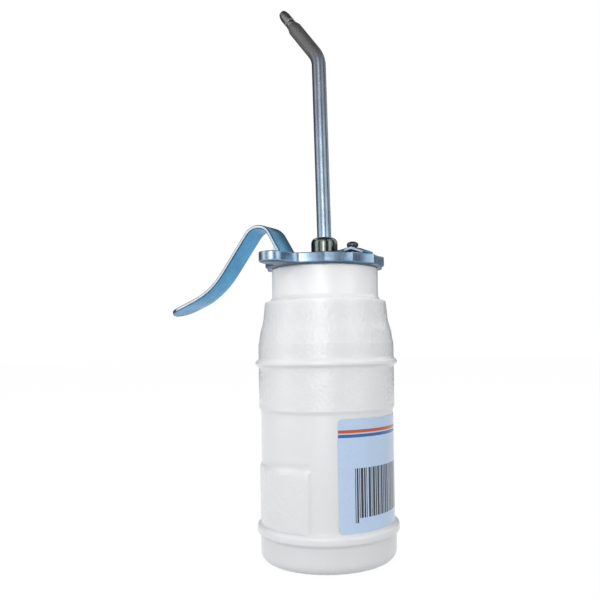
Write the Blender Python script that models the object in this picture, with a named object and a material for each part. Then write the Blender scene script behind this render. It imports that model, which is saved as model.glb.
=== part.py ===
"""Thumb-pump workshop oiler: a blow-moulded bottle with a screw-in zinc pump head.

Frame: metres, +Z up, origin at the centre of the bottle's flat base. The lever and the bent
spout lie in the XZ plane, with the thumb end towards -X and the plunger rod on the +X side.
"""
import math

import bmesh
import bpy
from mathutils import Vector

MM = 0.001

# Clearances
SEAT_GAP = 0.3 * MM
SLIDE_GAP = 0.15 * MM
OVERRUN = 1.0 * MM
FUSE_DEPTH = 0.6 * MM

# Facets
BOTTLE_SIDES = 48
HEAD_SIDES = 40
SMALL_SIDES = 24
TUBE_SIDES = 20
ARC_STEP = math.radians(15)
LINING_STEP = math.radians(30)
SHARP_ANGLE = math.radians(32)
# Turn of a boss's facets, so that none of their edges runs through an edge of its bore.
FACET_TURN = math.radians(2)

# Bottle, whose other radii follow the body's
BODY_RADIUS = 28.5 * MM
BOTTLE_WALL = 1.2 * MM
BASE_THICKNESS = 1.8 * MM
HEEL_PROUD = 0.1 * MM
HEEL_RADIUS = BODY_RADIUS + HEEL_PROUD
HEEL_HEIGHT = 11.2 * MM
HEEL_CORNER = 3.8 * MM
LOWER_BEAD_PROUD = 1.45 * MM
LOWER_BEAD_RADIUS = BODY_RADIUS + LOWER_BEAD_PROUD
LOWER_BEAD_HEIGHT = 4.6 * MM
BEAD_ROUND = 0.9 * MM
PANEL_RECESS = 0.75 * MM
PANEL_RADIUS = BODY_RADIUS - PANEL_RECESS
PANEL_HEIGHT = 46.2 * MM
STEP_HEIGHT = 1.5 * MM
BODY_HEIGHT = 17.0 * MM
UPPER_BEAD_PROUD = 1.3 * MM
UPPER_BEAD_RADIUS = BODY_RADIUS + UPPER_BEAD_PROUD
UPPER_BEAD_HEIGHT = 3.2 * MM
SHOULDER_HEIGHT = 6.1 * MM
TAPER_HEIGHT = 17.7 * MM
TAPER_DROP = 3.05 * MM
# Height and drop of the shoulder's taper at hand-set stations.
TAPER_SHARES = ((0.0, 0.0), (0.10, 0.15), (0.29, 0.30), (0.48, 0.63), (0.60, 0.76), (1.0, 1.0))
LEDGE_DROP = 1.45 * MM
LEDGE_HEIGHT = 0.2 * MM
NECK_FILLET = 1.2 * MM
NECK_RADIUS = 22.35 * MM
NECK_BORE = 19.8 * MM
NECK_HEIGHT = 13.7 * MM
NECK_LIP_ROUND = 0.5 * MM

# Raised grip patch on the thumb side of the lower panel
GRIP_PROUD = 0.85 * MM
GRIP_RADIUS = PANEL_RADIUS + GRIP_PROUD
GRIP_HEIGHT = 25.0 * MM
GRIP_EDGE_ANGLE = math.radians(75.4)
GRIP_SIDES = 26
GRIP_BEVEL = 0.8 * MM

# Label on the smooth side
LABEL_THICKNESS = 0.2 * MM
LABEL_LIFT = 0.15 * MM
LABEL_BASE_GAP = 0.4 * MM
LABEL_HEIGHT = 44.2 * MM
LABEL_ARC = 50.0 * MM
LABEL_CORNER = 1.8 * MM
LABEL_SIDES = 22

# Pump head casting
FLANGE_RADIUS = 25.3 * MM
FLANGE_THICKNESS = 4.3 * MM
FLANGE_OVERLAP = 0.1 * MM
FLUTE_COUNT = 14
FLUTE_DEPTH = 1.3 * MM
FLUTE_STEPS = 4
FLUTE_PHASE = math.radians(-60)
FLANGE_FOOT_CHAMFER = 1.2 * MM
FLANGE_TOP_CHAMFER = 0.4 * MM
WING_ANGLE = math.radians(99)
WING_REACH = 37.5 * MM
WING_HALF_WIDTH = 5.2 * MM
WING_FILLET = 6.0 * MM
PLUG_RADIUS = 18.7 * MM
PLUG_DEPTH = 10.0 * MM
PLUG_WALL = 2.4 * MM
BOSS_RADIUS = 6.0 * MM
BOSS_DEPTH = 8.5 * MM
RIB_HALF_WIDTH = 2.6 * MM
RIB_DEPTH = 7.5 * MM
CASTING_ROOF = 4.0 * MM
STUB_RADIUS = 4.0 * MM
STUB_HEIGHT = 4.2 * MM
SPOUT_BORE = 1.6 * MM
CHANNEL_RADIUS = 1.0 * MM
VENT_RADIUS = 0.7 * MM
VENT_DISTANCE = 13.5 * MM
VENT_ANGLE = math.radians(128)

# Neck gasket
GASKET_THICKNESS = 1.0 * MM

# Pump, in line under the plunger rod
ROD_X = 13.5 * MM
ROD_RADIUS = 1.3 * MM
BUTTON_RADIUS = 2.4 * MM
BUTTON_HEIGHT = 2.1 * MM
BUTTON_EDGE = 0.9 * MM
# Radius and rise of the button's crown, from its edge to its top.
BUTTON_SHARES = ((1.0, 0.0), (0.87, 0.5), (0.5, 0.88), (0.0, 1.0))
PUMP_BOSS_RADIUS = 5.4 * MM
PUMP_BOSS_DEPTH = 10.0 * MM
BARREL_RADIUS = 4.1 * MM
BARREL_BORE = 3.1 * MM
BARREL_LENGTH = 35.0 * MM
PORT_DEPTH = 2.2 * MM
PACKING_RADIUS = 2.4 * MM
PACKING_HEIGHT = 2.0 * MM
WASHER_THICKNESS = 0.6 * MM
SPRING_WIRE = 0.7 * MM
SPRING_MEAN_RADIUS = 2.15 * MM
SPRING_TURNS = 8
SPRING_POINTS = 9
SPRING_SIDES = 5
PISTON_HEIGHT = 7.0 * MM
PISTON_DROP = 20.5 * MM
PISTON_LAND = 3.0 * MM
PISTON_NECK_RADIUS = 2.2 * MM
SEAL_HEIGHT = 1.2 * MM
SEAL_GROOVE_RADIUS = 2.3 * MM
SEAL_BASE = 0.9 * MM
PISTON_SEAT_RADIUS = 0.9 * MM
PISTON_CHAMBER_RADIUS = 1.55 * MM
PISTON_FLOOR = 1.0 * MM
PISTON_BALL_RADIUS = 1.2 * MM
PISTON_CHAMBER_HEIGHT = 3.6 * MM
PISTON_PORT_RADIUS = 0.5 * MM
ROD_SOCKET_DEPTH = 1.9 * MM

# Foot valve and dip tube
VALVE_COLLAR_HEIGHT = 3.6 * MM
VALVE_SPIGOT_RADIUS = 2.8 * MM
VALVE_SPIGOT_HEIGHT = 4.8 * MM
VALVE_CHAMBER_RADIUS = 2.0 * MM
VALVE_CHAMBER_DEPTH = 3.9 * MM
VALVE_SEAT_RADIUS = 1.1 * MM
VALVE_BALL_RADIUS = 1.5 * MM
VALVE_BALL_LIFT = 0.5 * MM
VALVE_PIN_RADIUS = 0.35 * MM
VALVE_PIN_GAP = 0.1 * MM
NIPPLE_RADIUS = 1.8 * MM
NIPPLE_LENGTH = 7.0 * MM
DIP_BORE = 2.0 * MM
DIP_WALL = 0.8 * MM
DIP_FLOOR_GAP = 3.4 * MM
DIP_CUT_RISE = 3.0 * MM

# Spout
NUT_RADIUS = 5.6 * MM
NUT_HEIGHT = 8.6 * MM
NUT_LIFT = 0.4 * MM
NUT_DOME = 2.6 * MM
NUT_TOP_RADIUS = 3.5 * MM
NUT_DOME_STEPS = 5
SPOUT_SEAL_THICKNESS = 0.8 * MM
COLLAR_HEIGHT = 0.9 * MM
COLLAR_RADIUS = 4.0 * MM
SPOUT_RADIUS = 3.0 * MM
SPOUT_WALL = 0.9 * MM
SPOUT_STRAIGHT = 5.0 * MM
SPOUT_LEAN = math.radians(1.0)
SPOUT_RISE = 80.1 * MM
SPOUT_BEND = math.radians(37.5)
SPOUT_BEND_RADIUS = 10.0 * MM
SPOUT_END_LENGTH = 20.7 * MM
NOZZLE_RADIUS = 2.25 * MM
NOZZLE_LENGTH = 8.8 * MM
NOZZLE_SHANK = 6.0 * MM
NOZZLE_BORE = 0.8 * MM
NOZZLE_MOUTH_RADIUS = 1.6 * MM
NOZZLE_TAPER = 2.6 * MM

# Thumb lever, whose line is given from its pivot and from the level of its flat arms
PIVOT_X = -21.2 * MM
PIVOT_LIFT = 2.4 * MM
PIN_RADIUS = 1.2 * MM
ARM_LIFT = 1.4 * MM
LEVER_THICKNESS = 1.6 * MM
THUMB_REACH = 62.0 * MM
THUMB_DROP = 21.8 * MM
PAD_BEND_REACH = 36.7 * MM
PAD_BEND_DROP = 12.95 * MM
ARCH_REACH = 8.8 * MM
ARCH_RISE = 20.6 * MM
HEEL_REACH = 3.7 * MM
TENT_FOOT = 5.5 * MM
TENT_PEAK = 1.7 * MM
TENT_RISE = 1.75 * MM
TENT_END = 6.9 * MM
TENT_DROP = 0.25 * MM
PAD_BEND_ROUND = 42.0 * MM
ARCH_ROUND = 8.0 * MM
HEEL_ROUND = 3.5 * MM
TENT_FOOT_ROUND = 6.0 * MM
TENT_PEAK_ROUND = 1.5 * MM
PAD_WIDTH = 13.0 * MM
LEG_WIDTH = 11.2 * MM
FORK_WIDTH = 12.6 * MM
RING_WIDTH = 18.4 * MM
TENT_WIDTH = 9.0 * MM
LEVER_STATION = 2.2 * MM
RING_GAP = 0.6 * MM
RING_SWING = 1.1 * MM
SLOT_SWING = 2.3 * MM
CHEEK_RADIUS = 2.15 * MM
CHEEK_THICKNESS = 1.4 * MM
CHEEK_INSET = 0.1 * MM
EAR_RADIUS = 2.4 * MM
EAR_THICKNESS = 2.2 * MM
EAR_BLIND_WALL = 0.7 * MM
EAR_GAP = 0.3 * MM

# Levels, all from the base plane
LOWER_BEAD_Z = HEEL_HEIGHT
PANEL_Z = LOWER_BEAD_Z + LOWER_BEAD_HEIGHT
STEP_Z = PANEL_Z + PANEL_HEIGHT
BODY_Z = STEP_Z + STEP_HEIGHT
UPPER_BEAD_Z = BODY_Z + BODY_HEIGHT
SHOULDER_Z = UPPER_BEAD_Z + UPPER_BEAD_HEIGHT
TAPER_Z = SHOULDER_Z + SHOULDER_HEIGHT
LEDGE_Z = TAPER_Z + TAPER_HEIGHT
NECK_Z = LEDGE_Z + LEDGE_HEIGHT
NECK_TOP = NECK_Z + NECK_HEIGHT
FLANGE_Z = NECK_TOP - FLANGE_OVERLAP
FLANGE_TOP = FLANGE_Z + FLANGE_THICKNESS
ROOF_Z = FLANGE_TOP - CASTING_ROOF
GASKET_Z = NECK_TOP + SEAT_GAP
GROOVE_TOP = GASKET_Z + GASKET_THICKNESS + SEAT_GAP
PIVOT_Z = FLANGE_TOP + PIVOT_LIFT
ARM_Z = FLANGE_TOP + ARM_LIFT
STUB_TOP = FLANGE_TOP + STUB_HEIGHT
PACKING_TOP = ROOF_Z + SEAT_GAP
PACKING_Z = PACKING_TOP - PACKING_HEIGHT
SOCKET_TOP = PACKING_Z - SEAT_GAP
WASHER_Z = SOCKET_TOP - SEAT_GAP - WASHER_THICKNESS
BARREL_TOP = WASHER_Z - SEAT_GAP
BARREL_Z = BARREL_TOP - BARREL_LENGTH
PORT_Z = BARREL_TOP - PORT_DEPTH
SPRING_TOP = BARREL_TOP
PISTON_TOP = SPRING_TOP - PISTON_DROP
PISTON_Z = PISTON_TOP - PISTON_HEIGHT
VALVE_Z = BARREL_Z - SEAT_GAP - VALVE_COLLAR_HEIGHT
BUTTON_Z = ARM_Z + TENT_RISE + LEVER_THICKNESS / 2 + SEAT_GAP

ZINC = (0.30, 0.42, 0.55)
STEEL = (0.45, 0.55, 0.66)
BRASS = (0.36, 0.33, 0.16)


def clear_scene():
    """Remove whatever the start-up scene holds."""
    for obj in list(bpy.data.objects):
        bpy.data.objects.remove(obj, do_unlink=True)


def material(name, colour, roughness, metallic, alpha=1.0):
    """A Principled surface in the part's own colour."""
    made = bpy.data.materials.new(name)
    made.use_nodes = True
    shader = made.node_tree.nodes["Principled BSDF"]
    shader.inputs["Base Color"].default_value = (*colour, 1.0)
    shader.inputs["Roughness"].default_value = roughness
    shader.inputs["Metallic"].default_value = metallic
    shader.inputs["Alpha"].default_value = alpha
    made.diffuse_color = (*colour, alpha)
    return made


def place(name, mesh, surface=None, at=(0.0, 0.0, 0.0)):
    """Link a mesh as a named object at its own origin."""
    obj = bpy.data.objects.new(name, mesh)
    bpy.context.scene.collection.objects.link(obj)
    obj.location = at
    if surface:
        mesh.materials.append(surface)
    mesh.shade_smooth()
    mesh.set_sharp_from_angle(angle=SHARP_ANGLE)
    return obj


def mesh_from(rings, caps, loop, name="form"):
    """Skin rings of equal length; loop joins the last ring to the first, caps closes the ends."""
    bm = bmesh.new()
    rows = [[bm.verts.new(point) for point in ring] for ring in rings]
    pairs = list(zip(rows, rows[1:]))
    if loop:
        pairs.append((rows[-1], rows[0]))
    for low, high in pairs:
        count = max(len(low), len(high))
        for i in range(count):
            j = (i + 1) % count
            corners = []
            for vert in (low[i % len(low)], low[j % len(low)], high[j % len(high)], high[i % len(high)]):
                if vert not in corners:
                    corners.append(vert)
            bm.faces.new(corners)
    if caps:
        for row in (rows[0], rows[-1]):
            if len(row) > 2:
                bm.faces.new(row)
    bmesh.ops.recalc_face_normals(bm, faces=bm.faces)
    mesh = bpy.data.meshes.new(name)
    bm.to_mesh(mesh)
    bm.free()
    return mesh


def turned(profile, sides, loop=False):
    """Revolve (radius, height) points about Z. A radius of zero closes on the axis."""
    rings = []
    for radius, height in profile:
        if radius == 0:
            rings.append([(0.0, 0.0, height)])
            continue
        turns = [math.tau * i / sides for i in range(sides)]
        rings.append([(radius * math.cos(a), radius * math.sin(a), height) for a in turns])
    return mesh_from(rings, caps=False, loop=loop)


def rod_mesh(radius, low, high, sides):
    """A plain cylinder about Z."""
    return turned([(0, low), (radius, low), (radius, high), (0, high)], sides)


def sleeve(outer, inner, low, high, sides):
    """A plain tube about Z."""
    return turned([(outer, low), (outer, high), (inner, high), (inner, low)], sides, loop=True)


def prism(outline, low, high, along="Z"):
    """Extrude a flat outline. Along Y, the outline holds (x, z) pairs."""
    if along == "Z":
        rings = [[(x, y, level) for x, y in outline] for level in (low, high)]
    else:
        rings = [[(x, level, z) for x, z in outline] for level in (low, high)]
    return mesh_from(rings, caps=True, loop=False)


def box(low, high):
    """A box between two corners."""
    outline = [(low[0], low[1]), (high[0], low[1]), (high[0], high[1]), (low[0], high[1])]
    return prism(outline, low[2], high[2])


def arc(centre, radius, start, end, step=ARC_STEP):
    """Points on an arc, both ends included."""
    count = max(2, math.ceil(abs(end - start) / step))
    turns = [start + (end - start) * i / count for i in range(count + 1)]
    return [(centre[0] + radius * math.cos(a), centre[1] + radius * math.sin(a)) for a in turns]


def stadium(start_x, end_x, radius):
    """A slot outline from start_x to end_x, measured between its end centres."""
    right = arc((end_x, 0.0), radius, -math.pi / 2, math.pi / 2)
    left = arc((start_x, 0.0), radius, math.pi / 2, math.pi * 3 / 2)
    return right + left


def rounded(points, radii, step=ARC_STEP):
    """An open path whose inner corners carry fillets."""
    path = [Vector(points[0])]
    for before, corner, after, radius in zip(points, points[1:], points[2:], radii):
        corner = Vector(corner)
        back = (Vector(before) - corner).normalized()
        ahead = (Vector(after) - corner).normalized()
        opening = back.angle(ahead)
        turn = math.pi - opening
        if radius == 0 or turn < math.radians(1):
            path.append(corner)
            continue
        reach = radius / math.tan(opening / 2)
        reach = min(reach, (Vector(before) - corner).length / 2, (Vector(after) - corner).length / 2)
        radius = reach * math.tan(opening / 2)
        middle = corner + (back + ahead).normalized() * (radius / math.sin(opening / 2))
        start = corner + back * reach - middle
        end = corner + ahead * reach - middle
        count = max(2, math.ceil(turn / step))
        for i in range(count + 1):
            share = i / count
            weight = math.sin(turn)
            spoke = (start * math.sin((1 - share) * turn) + end * math.sin(share * turn)) / weight
            path.append(middle + spoke)
    path.append(Vector(points[-1]))
    return path


def combine(target, mesh, operation, at=(0.0, 0.0, 0.0), turn=(0.0, 0.0, 0.0)):
    """Join, cut or keep with a tool solid, which stays as a hidden wire object."""
    tool = bpy.data.objects.new(f"{target.name}_tool_{len(target.modifiers)}", mesh)
    bpy.context.scene.collection.objects.link(tool)
    tool.location = at
    tool.rotation_euler = turn
    tool.hide_render = True
    tool.display_type = "WIRE"
    modifier = target.modifiers.new(operation.title(), "BOOLEAN")
    modifier.operation = operation
    modifier.solver = "EXACT"
    modifier.object = tool
    return modifier


def curved_patch(low_radius, high_radius, start, end, columns):
    """A solid shell patch about Z. Each column is (share of the arc, low height, high height)."""
    rings = []
    for share, low, high in columns:
        angle = start + (end - start) * share
        across = (math.cos(angle), math.sin(angle))
        corners = ((low_radius, low), (high_radius, low), (high_radius, high), (low_radius, high))
        rings.append([(r * across[0], r * across[1], z) for r, z in corners])
    return mesh_from(rings, caps=True, loop=False)


def bottle_outline():
    """The outer wall as (radius, height) points, base to lip."""
    points = [(0.0, 0.0)]
    points += arc((HEEL_RADIUS - HEEL_CORNER, HEEL_CORNER), HEEL_CORNER, -math.pi / 2, 0.0)
    points += [(HEEL_RADIUS, LOWER_BEAD_Z)]
    points += [(LOWER_BEAD_RADIUS, LOWER_BEAD_Z + BEAD_ROUND)]
    points += [(LOWER_BEAD_RADIUS, PANEL_Z - BEAD_ROUND), (PANEL_RADIUS, PANEL_Z)]
    points += [(PANEL_RADIUS, STEP_Z), (BODY_RADIUS, BODY_Z), (BODY_RADIUS, UPPER_BEAD_Z)]
    points += [(UPPER_BEAD_RADIUS, UPPER_BEAD_Z + BEAD_ROUND)]
    points += [(UPPER_BEAD_RADIUS, SHOULDER_Z - BEAD_ROUND), (BODY_RADIUS, SHOULDER_Z)]
    for height, drop in TAPER_SHARES:
        points.append((BODY_RADIUS - TAPER_DROP * drop, TAPER_Z + TAPER_HEIGHT * height))
    ledge_radius = BODY_RADIUS - TAPER_DROP - LEDGE_DROP
    points += [(ledge_radius, NECK_Z)]
    points += [(NECK_RADIUS, NECK_Z + NECK_FILLET), (NECK_RADIUS, NECK_TOP - NECK_LIP_ROUND)]
    points += [(NECK_RADIUS - NECK_LIP_ROUND, NECK_TOP)]
    return points


def bottle_lining():
    """The inner wall as (radius, height) points, lip to floor."""
    throat = NECK_Z + NECK_FILLET
    body = BODY_RADIUS - BOTTLE_WALL
    points = [(NECK_BORE, NECK_TOP), (NECK_BORE, throat)]
    points += [(body - TAPER_DROP - LEDGE_DROP, LEDGE_Z - BOTTLE_WALL)]
    for height, drop in reversed(TAPER_SHARES[1:-1]):
        points.append((body - TAPER_DROP * drop, TAPER_Z - BOTTLE_WALL + TAPER_HEIGHT * height))
    points += [(body, TAPER_Z - BOTTLE_WALL), (body, BODY_Z)]
    points += [(PANEL_RADIUS - BOTTLE_WALL, STEP_Z), (PANEL_RADIUS - BOTTLE_WALL, PANEL_Z)]
    inner_heel = HEEL_RADIUS - BOTTLE_WALL
    corner = HEEL_CORNER - BOTTLE_WALL
    points += [(inner_heel, LOWER_BEAD_Z)]
    points += arc((inner_heel - corner, BASE_THICKNESS + corner), corner, 0.0, -math.pi / 2, LINING_STEP)
    points += [(0.0, BASE_THICKNESS)]
    return points


def make_bottle():
    """Bottle shell with its beads, label recess and raised grip patch."""
    skin = material("polyethylene", (0.78, 0.80, 0.83), 0.45, 0.0, alpha=0.92)
    bottle = place("bottle", turned(bottle_outline() + bottle_lining(), BOTTLE_SIDES), skin)
    low = PANEL_Z - BEAD_ROUND
    high = PANEL_Z + GRIP_HEIGHT
    bevel_share = 0.5 / GRIP_SIDES
    shares = [0.0, bevel_share] + [i / GRIP_SIDES for i in range(1, GRIP_SIDES)] + [1 - bevel_share, 1.0]
    rings = []
    for share in shares:
        angle = GRIP_EDGE_ANGLE + (math.tau - 2 * GRIP_EDGE_ANGLE) * share
        crest = PANEL_RADIUS if share in (0.0, 1.0) else GRIP_RADIUS
        root = PANEL_RADIUS - BOTTLE_WALL / 2
        top = high - GRIP_BEVEL
        corners = ((root, low), (crest, low), (crest, top), (PANEL_RADIUS, high), (root, high))
        rings.append([(r * math.cos(angle), r * math.sin(angle), z) for r, z in corners])
    combine(bottle, mesh_from(rings, caps=True, loop=False), "UNION")


def make_label():
    """Paper label round the smooth side, with rounded corners."""
    low_radius = PANEL_RADIUS + LABEL_LIFT
    half_angle = LABEL_ARC / 2 / low_radius
    low = PANEL_Z + LABEL_BASE_GAP
    high = low + LABEL_HEIGHT
    corner_share = LABEL_CORNER / LABEL_ARC
    shares = [corner_share * i / 4 for i in range(4)]
    shares += [corner_share + (1 - 2 * corner_share) * i / LABEL_SIDES for i in range(LABEL_SIDES + 1)]
    shares += [1 - share for share in reversed(shares[:4])]
    columns = []
    for share in shares:
        inward = max(0.0, LABEL_CORNER - LABEL_ARC * min(share, 1 - share))
        cut = LABEL_CORNER - math.sqrt(max(0.0, LABEL_CORNER**2 - inward**2))
        columns.append((share, low + cut, high - cut))
    patch = curved_patch(low_radius, low_radius + LABEL_THICKNESS, -half_angle, half_angle, columns)
    place("label", patch, material("coated_paper", (0.55, 0.69, 0.87), 0.35, 0.0))


def make_gasket():
    """Flat ring between the bottle's lip and the head's flange."""
    outer = NECK_RADIUS + SLIDE_GAP
    inner = NECK_BORE - SLIDE_GAP
    ring = sleeve(outer, inner, GASKET_Z, GASKET_Z + GASKET_THICKNESS, BOTTLE_SIDES)
    place("neck_gasket", ring, material("nitrile_rubber", (0.02, 0.02, 0.02), 0.6, 0.0))


def flange_mesh():
    """Scalloped disc: concave flutes between sharp ridges, chamfered at foot and top."""
    outline = []
    for i in range(FLUTE_COUNT * FLUTE_STEPS):
        across = (i % FLUTE_STEPS) / FLUTE_STEPS
        angle = FLUTE_PHASE + math.tau * i / (FLUTE_COUNT * FLUTE_STEPS)
        outline.append((FLANGE_RADIUS - FLUTE_DEPTH * (1 - (2 * across - 1) ** 2), angle))
    levels = (
        (FLANGE_Z, FLANGE_FOOT_CHAMFER),
        (FLANGE_Z + FLANGE_FOOT_CHAMFER, 0.0),
        (FLANGE_TOP - FLANGE_TOP_CHAMFER, 0.0),
        (FLANGE_TOP, FLANGE_TOP_CHAMFER),
    )
    rings = []
    for level, inset in levels:
        rings.append([((r - inset) * math.cos(a), (r - inset) * math.sin(a), level) for r, a in outline])
    return mesh_from(rings, caps=True, loop=False)


def wing_mesh():
    """One rounded lug, filleted into the rim's hollows on both sides, lying along +X."""
    half = WING_HALF_WIDTH
    tip = WING_REACH - half
    edge = FLANGE_RADIUS - FLUTE_DEPTH
    across = half + WING_FILLET
    middle = math.sqrt((edge + WING_FILLET) ** 2 - across**2)
    leave = math.atan2(across, middle)
    root = edge - FLANGE_FOOT_CHAMFER - FUSE_DEPTH
    side = [(root * math.cos(leave), root * math.sin(leave))]
    side += arc((middle, across), WING_FILLET, leave + math.pi, math.pi * 3 / 2)
    lower = [(x, -y) for x, y in side]
    outline = lower + arc((tip, 0.0), half, -math.pi / 2, math.pi / 2) + side[::-1]
    centre = (root + tip) / 2
    levels = (
        (FLANGE_Z + SLIDE_GAP, FLANGE_FOOT_CHAMFER),
        (FLANGE_Z + SLIDE_GAP + FLANGE_FOOT_CHAMFER, 0.0),
        (FLANGE_TOP - SLIDE_GAP - FLANGE_TOP_CHAMFER, 0.0),
        (FLANGE_TOP - SLIDE_GAP, FLANGE_TOP_CHAMFER),
    )
    rings = []
    for level, inset in levels:
        shrink = 1 - inset / half
        rings.append([(centre + (x - centre) * (1 - inset / (tip - centre + half)), y * shrink, level)
                      for x, y in outline])
    return mesh_from(rings, caps=True, loop=False)


def ear_span():
    """Inner and outer faces of the pivot ears, as distances from the lever's mid-plane."""
    inner = FORK_WIDTH / 2 + EAR_GAP
    return inner, inner + EAR_THICKNESS


def make_head():
    """Zinc casting: fluted flange, threaded plug, bosses, lever ears and oil passages."""
    head = place("pump_head", flange_mesh(), material("chromated_zinc", ZINC, 0.35, 0.9))
    for side in (-1, 1):
        combine(head, wing_mesh(), "UNION", turn=(0.0, 0.0, side * WING_ANGLE))
    fused = FLANGE_Z + FUSE_DEPTH
    plug_foot = FLANGE_Z - PLUG_DEPTH
    combine(head, sleeve(PLUG_RADIUS, PLUG_RADIUS - PLUG_WALL, plug_foot, fused, HEAD_SIDES), "UNION")
    boss = [(0, FLANGE_Z - BOSS_DEPTH), (BOSS_RADIUS, FLANGE_Z - BOSS_DEPTH), (BOSS_RADIUS, fused)]
    boss += [(STUB_RADIUS, fused), (STUB_RADIUS, STUB_TOP), (0, STUB_TOP)]
    combine(head, turned(boss, HEAD_SIDES), "UNION", turn=(0.0, 0.0, FACET_TURN))
    pump_foot = FLANGE_Z - PUMP_BOSS_DEPTH
    pump_boss = rod_mesh(PUMP_BOSS_RADIUS, pump_foot, fused, HEAD_SIDES)
    combine(head, pump_boss, "UNION", at=(ROD_X, 0, 0), turn=(0.0, 0.0, FACET_TURN))
    rib_low = (0.0, -RIB_HALF_WIDTH, FLANGE_Z - RIB_DEPTH)
    combine(head, box(rib_low, (ROD_X, RIB_HALF_WIDTH, fused)), "UNION")
    add_ears(head)
    cut_gasket_groove(head)
    cut_oil_ways(head)
    cut_pin_bore(head)


def add_ears(head):
    """Two ears that carry the lever's pin."""
    inner, outer = ear_span()
    foot = FLANGE_TOP - PIVOT_Z - FUSE_DEPTH
    outline = [(-EAR_RADIUS, foot), (EAR_RADIUS, foot)] + arc((0.0, 0.0), EAR_RADIUS, 0.0, math.pi)
    for low, high in ((-outer, -inner), (inner, outer)):
        combine(head, prism(outline, low, high, along="Y"), "UNION", at=(PIVOT_X, 0, PIVOT_Z))


def cut_gasket_groove(head):
    """Recess in the flange's underside that takes the lip and its gasket."""
    outer = NECK_RADIUS + SLIDE_GAP + SEAT_GAP
    inner = NECK_BORE - SLIDE_GAP - SEAT_GAP
    groove = sleeve(outer, inner, FLANGE_Z - OVERRUN, GROOVE_TOP, BOTTLE_SIDES)
    combine(head, groove, "DIFFERENCE")


def cut_oil_ways(head):
    """Spout bore, pump socket with its packing seat, cross channel and breather."""
    bore = rod_mesh(SPOUT_BORE, PORT_Z - 2 * CHANNEL_RADIUS, STUB_TOP + OVERRUN, SMALL_SIDES)
    combine(head, bore, "DIFFERENCE")
    socket_radius = BARREL_RADIUS + SEAT_GAP
    packing_radius = PACKING_RADIUS + SEAT_GAP
    rod_way = ROD_RADIUS + SEAT_GAP
    mouth = FLANGE_Z - PUMP_BOSS_DEPTH - OVERRUN
    steps = [(0, mouth), (socket_radius, mouth)]
    steps += [(socket_radius, SOCKET_TOP), (packing_radius, SOCKET_TOP)]
    steps += [(packing_radius, PACKING_TOP + SEAT_GAP), (rod_way, PACKING_TOP + SEAT_GAP)]
    steps += [(rod_way, FLANGE_TOP + OVERRUN), (0, FLANGE_TOP + OVERRUN)]
    combine(head, turned(steps, SMALL_SIDES), "DIFFERENCE", at=(ROD_X, 0, 0))
    channel = rod_mesh(CHANNEL_RADIUS, 0.0, ROD_X - BARREL_RADIUS, SMALL_SIDES // 2)
    combine(head, channel, "DIFFERENCE", at=(0, 0, PORT_Z), turn=(0, math.pi / 2, 0))
    vent = rod_mesh(VENT_RADIUS, FLANGE_Z - OVERRUN, FLANGE_TOP + OVERRUN, SMALL_SIDES // 2)
    vent_at = (VENT_DISTANCE * math.cos(VENT_ANGLE), VENT_DISTANCE * math.sin(VENT_ANGLE), 0)
    combine(head, vent, "DIFFERENCE", at=vent_at)


def cut_pin_bore(head):
    """Bore for the lever's pin, blind in the near ear."""
    outer = ear_span()[1]
    bore = rod_mesh(PIN_RADIUS + SLIDE_GAP, -outer + EAR_BLIND_WALL, outer + OVERRUN, SMALL_SIDES)
    combine(head, bore, "DIFFERENCE", at=(PIVOT_X, 0, PIVOT_Z), turn=(-math.pi / 2, 0, 0))


def make_lever_pin():
    """Plain pin pressed in from the far ear."""
    outer = ear_span()[1]
    pin = rod_mesh(PIN_RADIUS, -outer + EAR_BLIND_WALL + SEAT_GAP, outer, SMALL_SIDES)
    obj = place("lever_pin", pin, material("bright_steel", STEEL, 0.3, 1.0), at=(PIVOT_X, 0, PIVOT_Z))
    obj.rotation_euler = (-math.pi / 2, 0, 0)


def lever_line():
    """Middle line of the strip from thumb to tent, as (x, z) from the pivot."""
    level = ARM_Z - PIVOT_Z
    rod = ROD_X - PIVOT_X
    corners = [
        (-THUMB_REACH, level - THUMB_DROP),
        (-PAD_BEND_REACH, level - PAD_BEND_DROP),
        (-ARCH_REACH, level + ARCH_RISE),
        (HEEL_REACH, level),
        (rod - TENT_FOOT, level),
        (rod + TENT_PEAK, level + TENT_RISE),
        (rod + TENT_END, level - TENT_DROP),
    ]
    rounds = [PAD_BEND_ROUND, ARCH_ROUND, HEEL_ROUND, TENT_FOOT_ROUND, TENT_PEAK_ROUND]
    return rounded(corners, rounds)


def with_stations(path, spacing):
    """The path with points added on long runs."""
    made = [path[0]]
    for start, end in zip(path, path[1:]):
        count = max(1, math.ceil((end - start).length / spacing))
        made += [start.lerp(end, i / count) for i in range(1, count + 1)]
    return made


def blend(value, start, end):
    """Smooth step from 0 at start to 1 at end."""
    share = min(1.0, max(0.0, (value - start) / (end - start)))
    return share * share * (3 - 2 * share)


def lever_width(x):
    """Width of the strip at x from the pivot: pad, leg, fork, ring, then tent."""
    centre = -PIVOT_X
    rod = ROD_X - PIVOT_X
    width = PAD_WIDTH + (LEG_WIDTH - PAD_WIDTH) * blend(x, -THUMB_REACH + PAD_WIDTH, -PAD_BEND_REACH)
    width += (FORK_WIDTH - LEG_WIDTH) * blend(x, -ARCH_REACH, -CHEEK_RADIUS / 2)
    width += (RING_WIDTH - FORK_WIDTH) * blend(x, HEEL_REACH + CHEEK_RADIUS, centre - NUT_RADIUS)
    width += (TENT_WIDTH - RING_WIDTH) * blend(x, centre + NUT_RADIUS / 2, rod - ROD_RADIUS)
    from_tip = x + THUMB_REACH
    round_radius = PAD_WIDTH / 2
    if from_tip < round_radius:
        width *= math.sqrt(max(0.04, 1 - (1 - from_tip / round_radius) ** 2))
    return width


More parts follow.
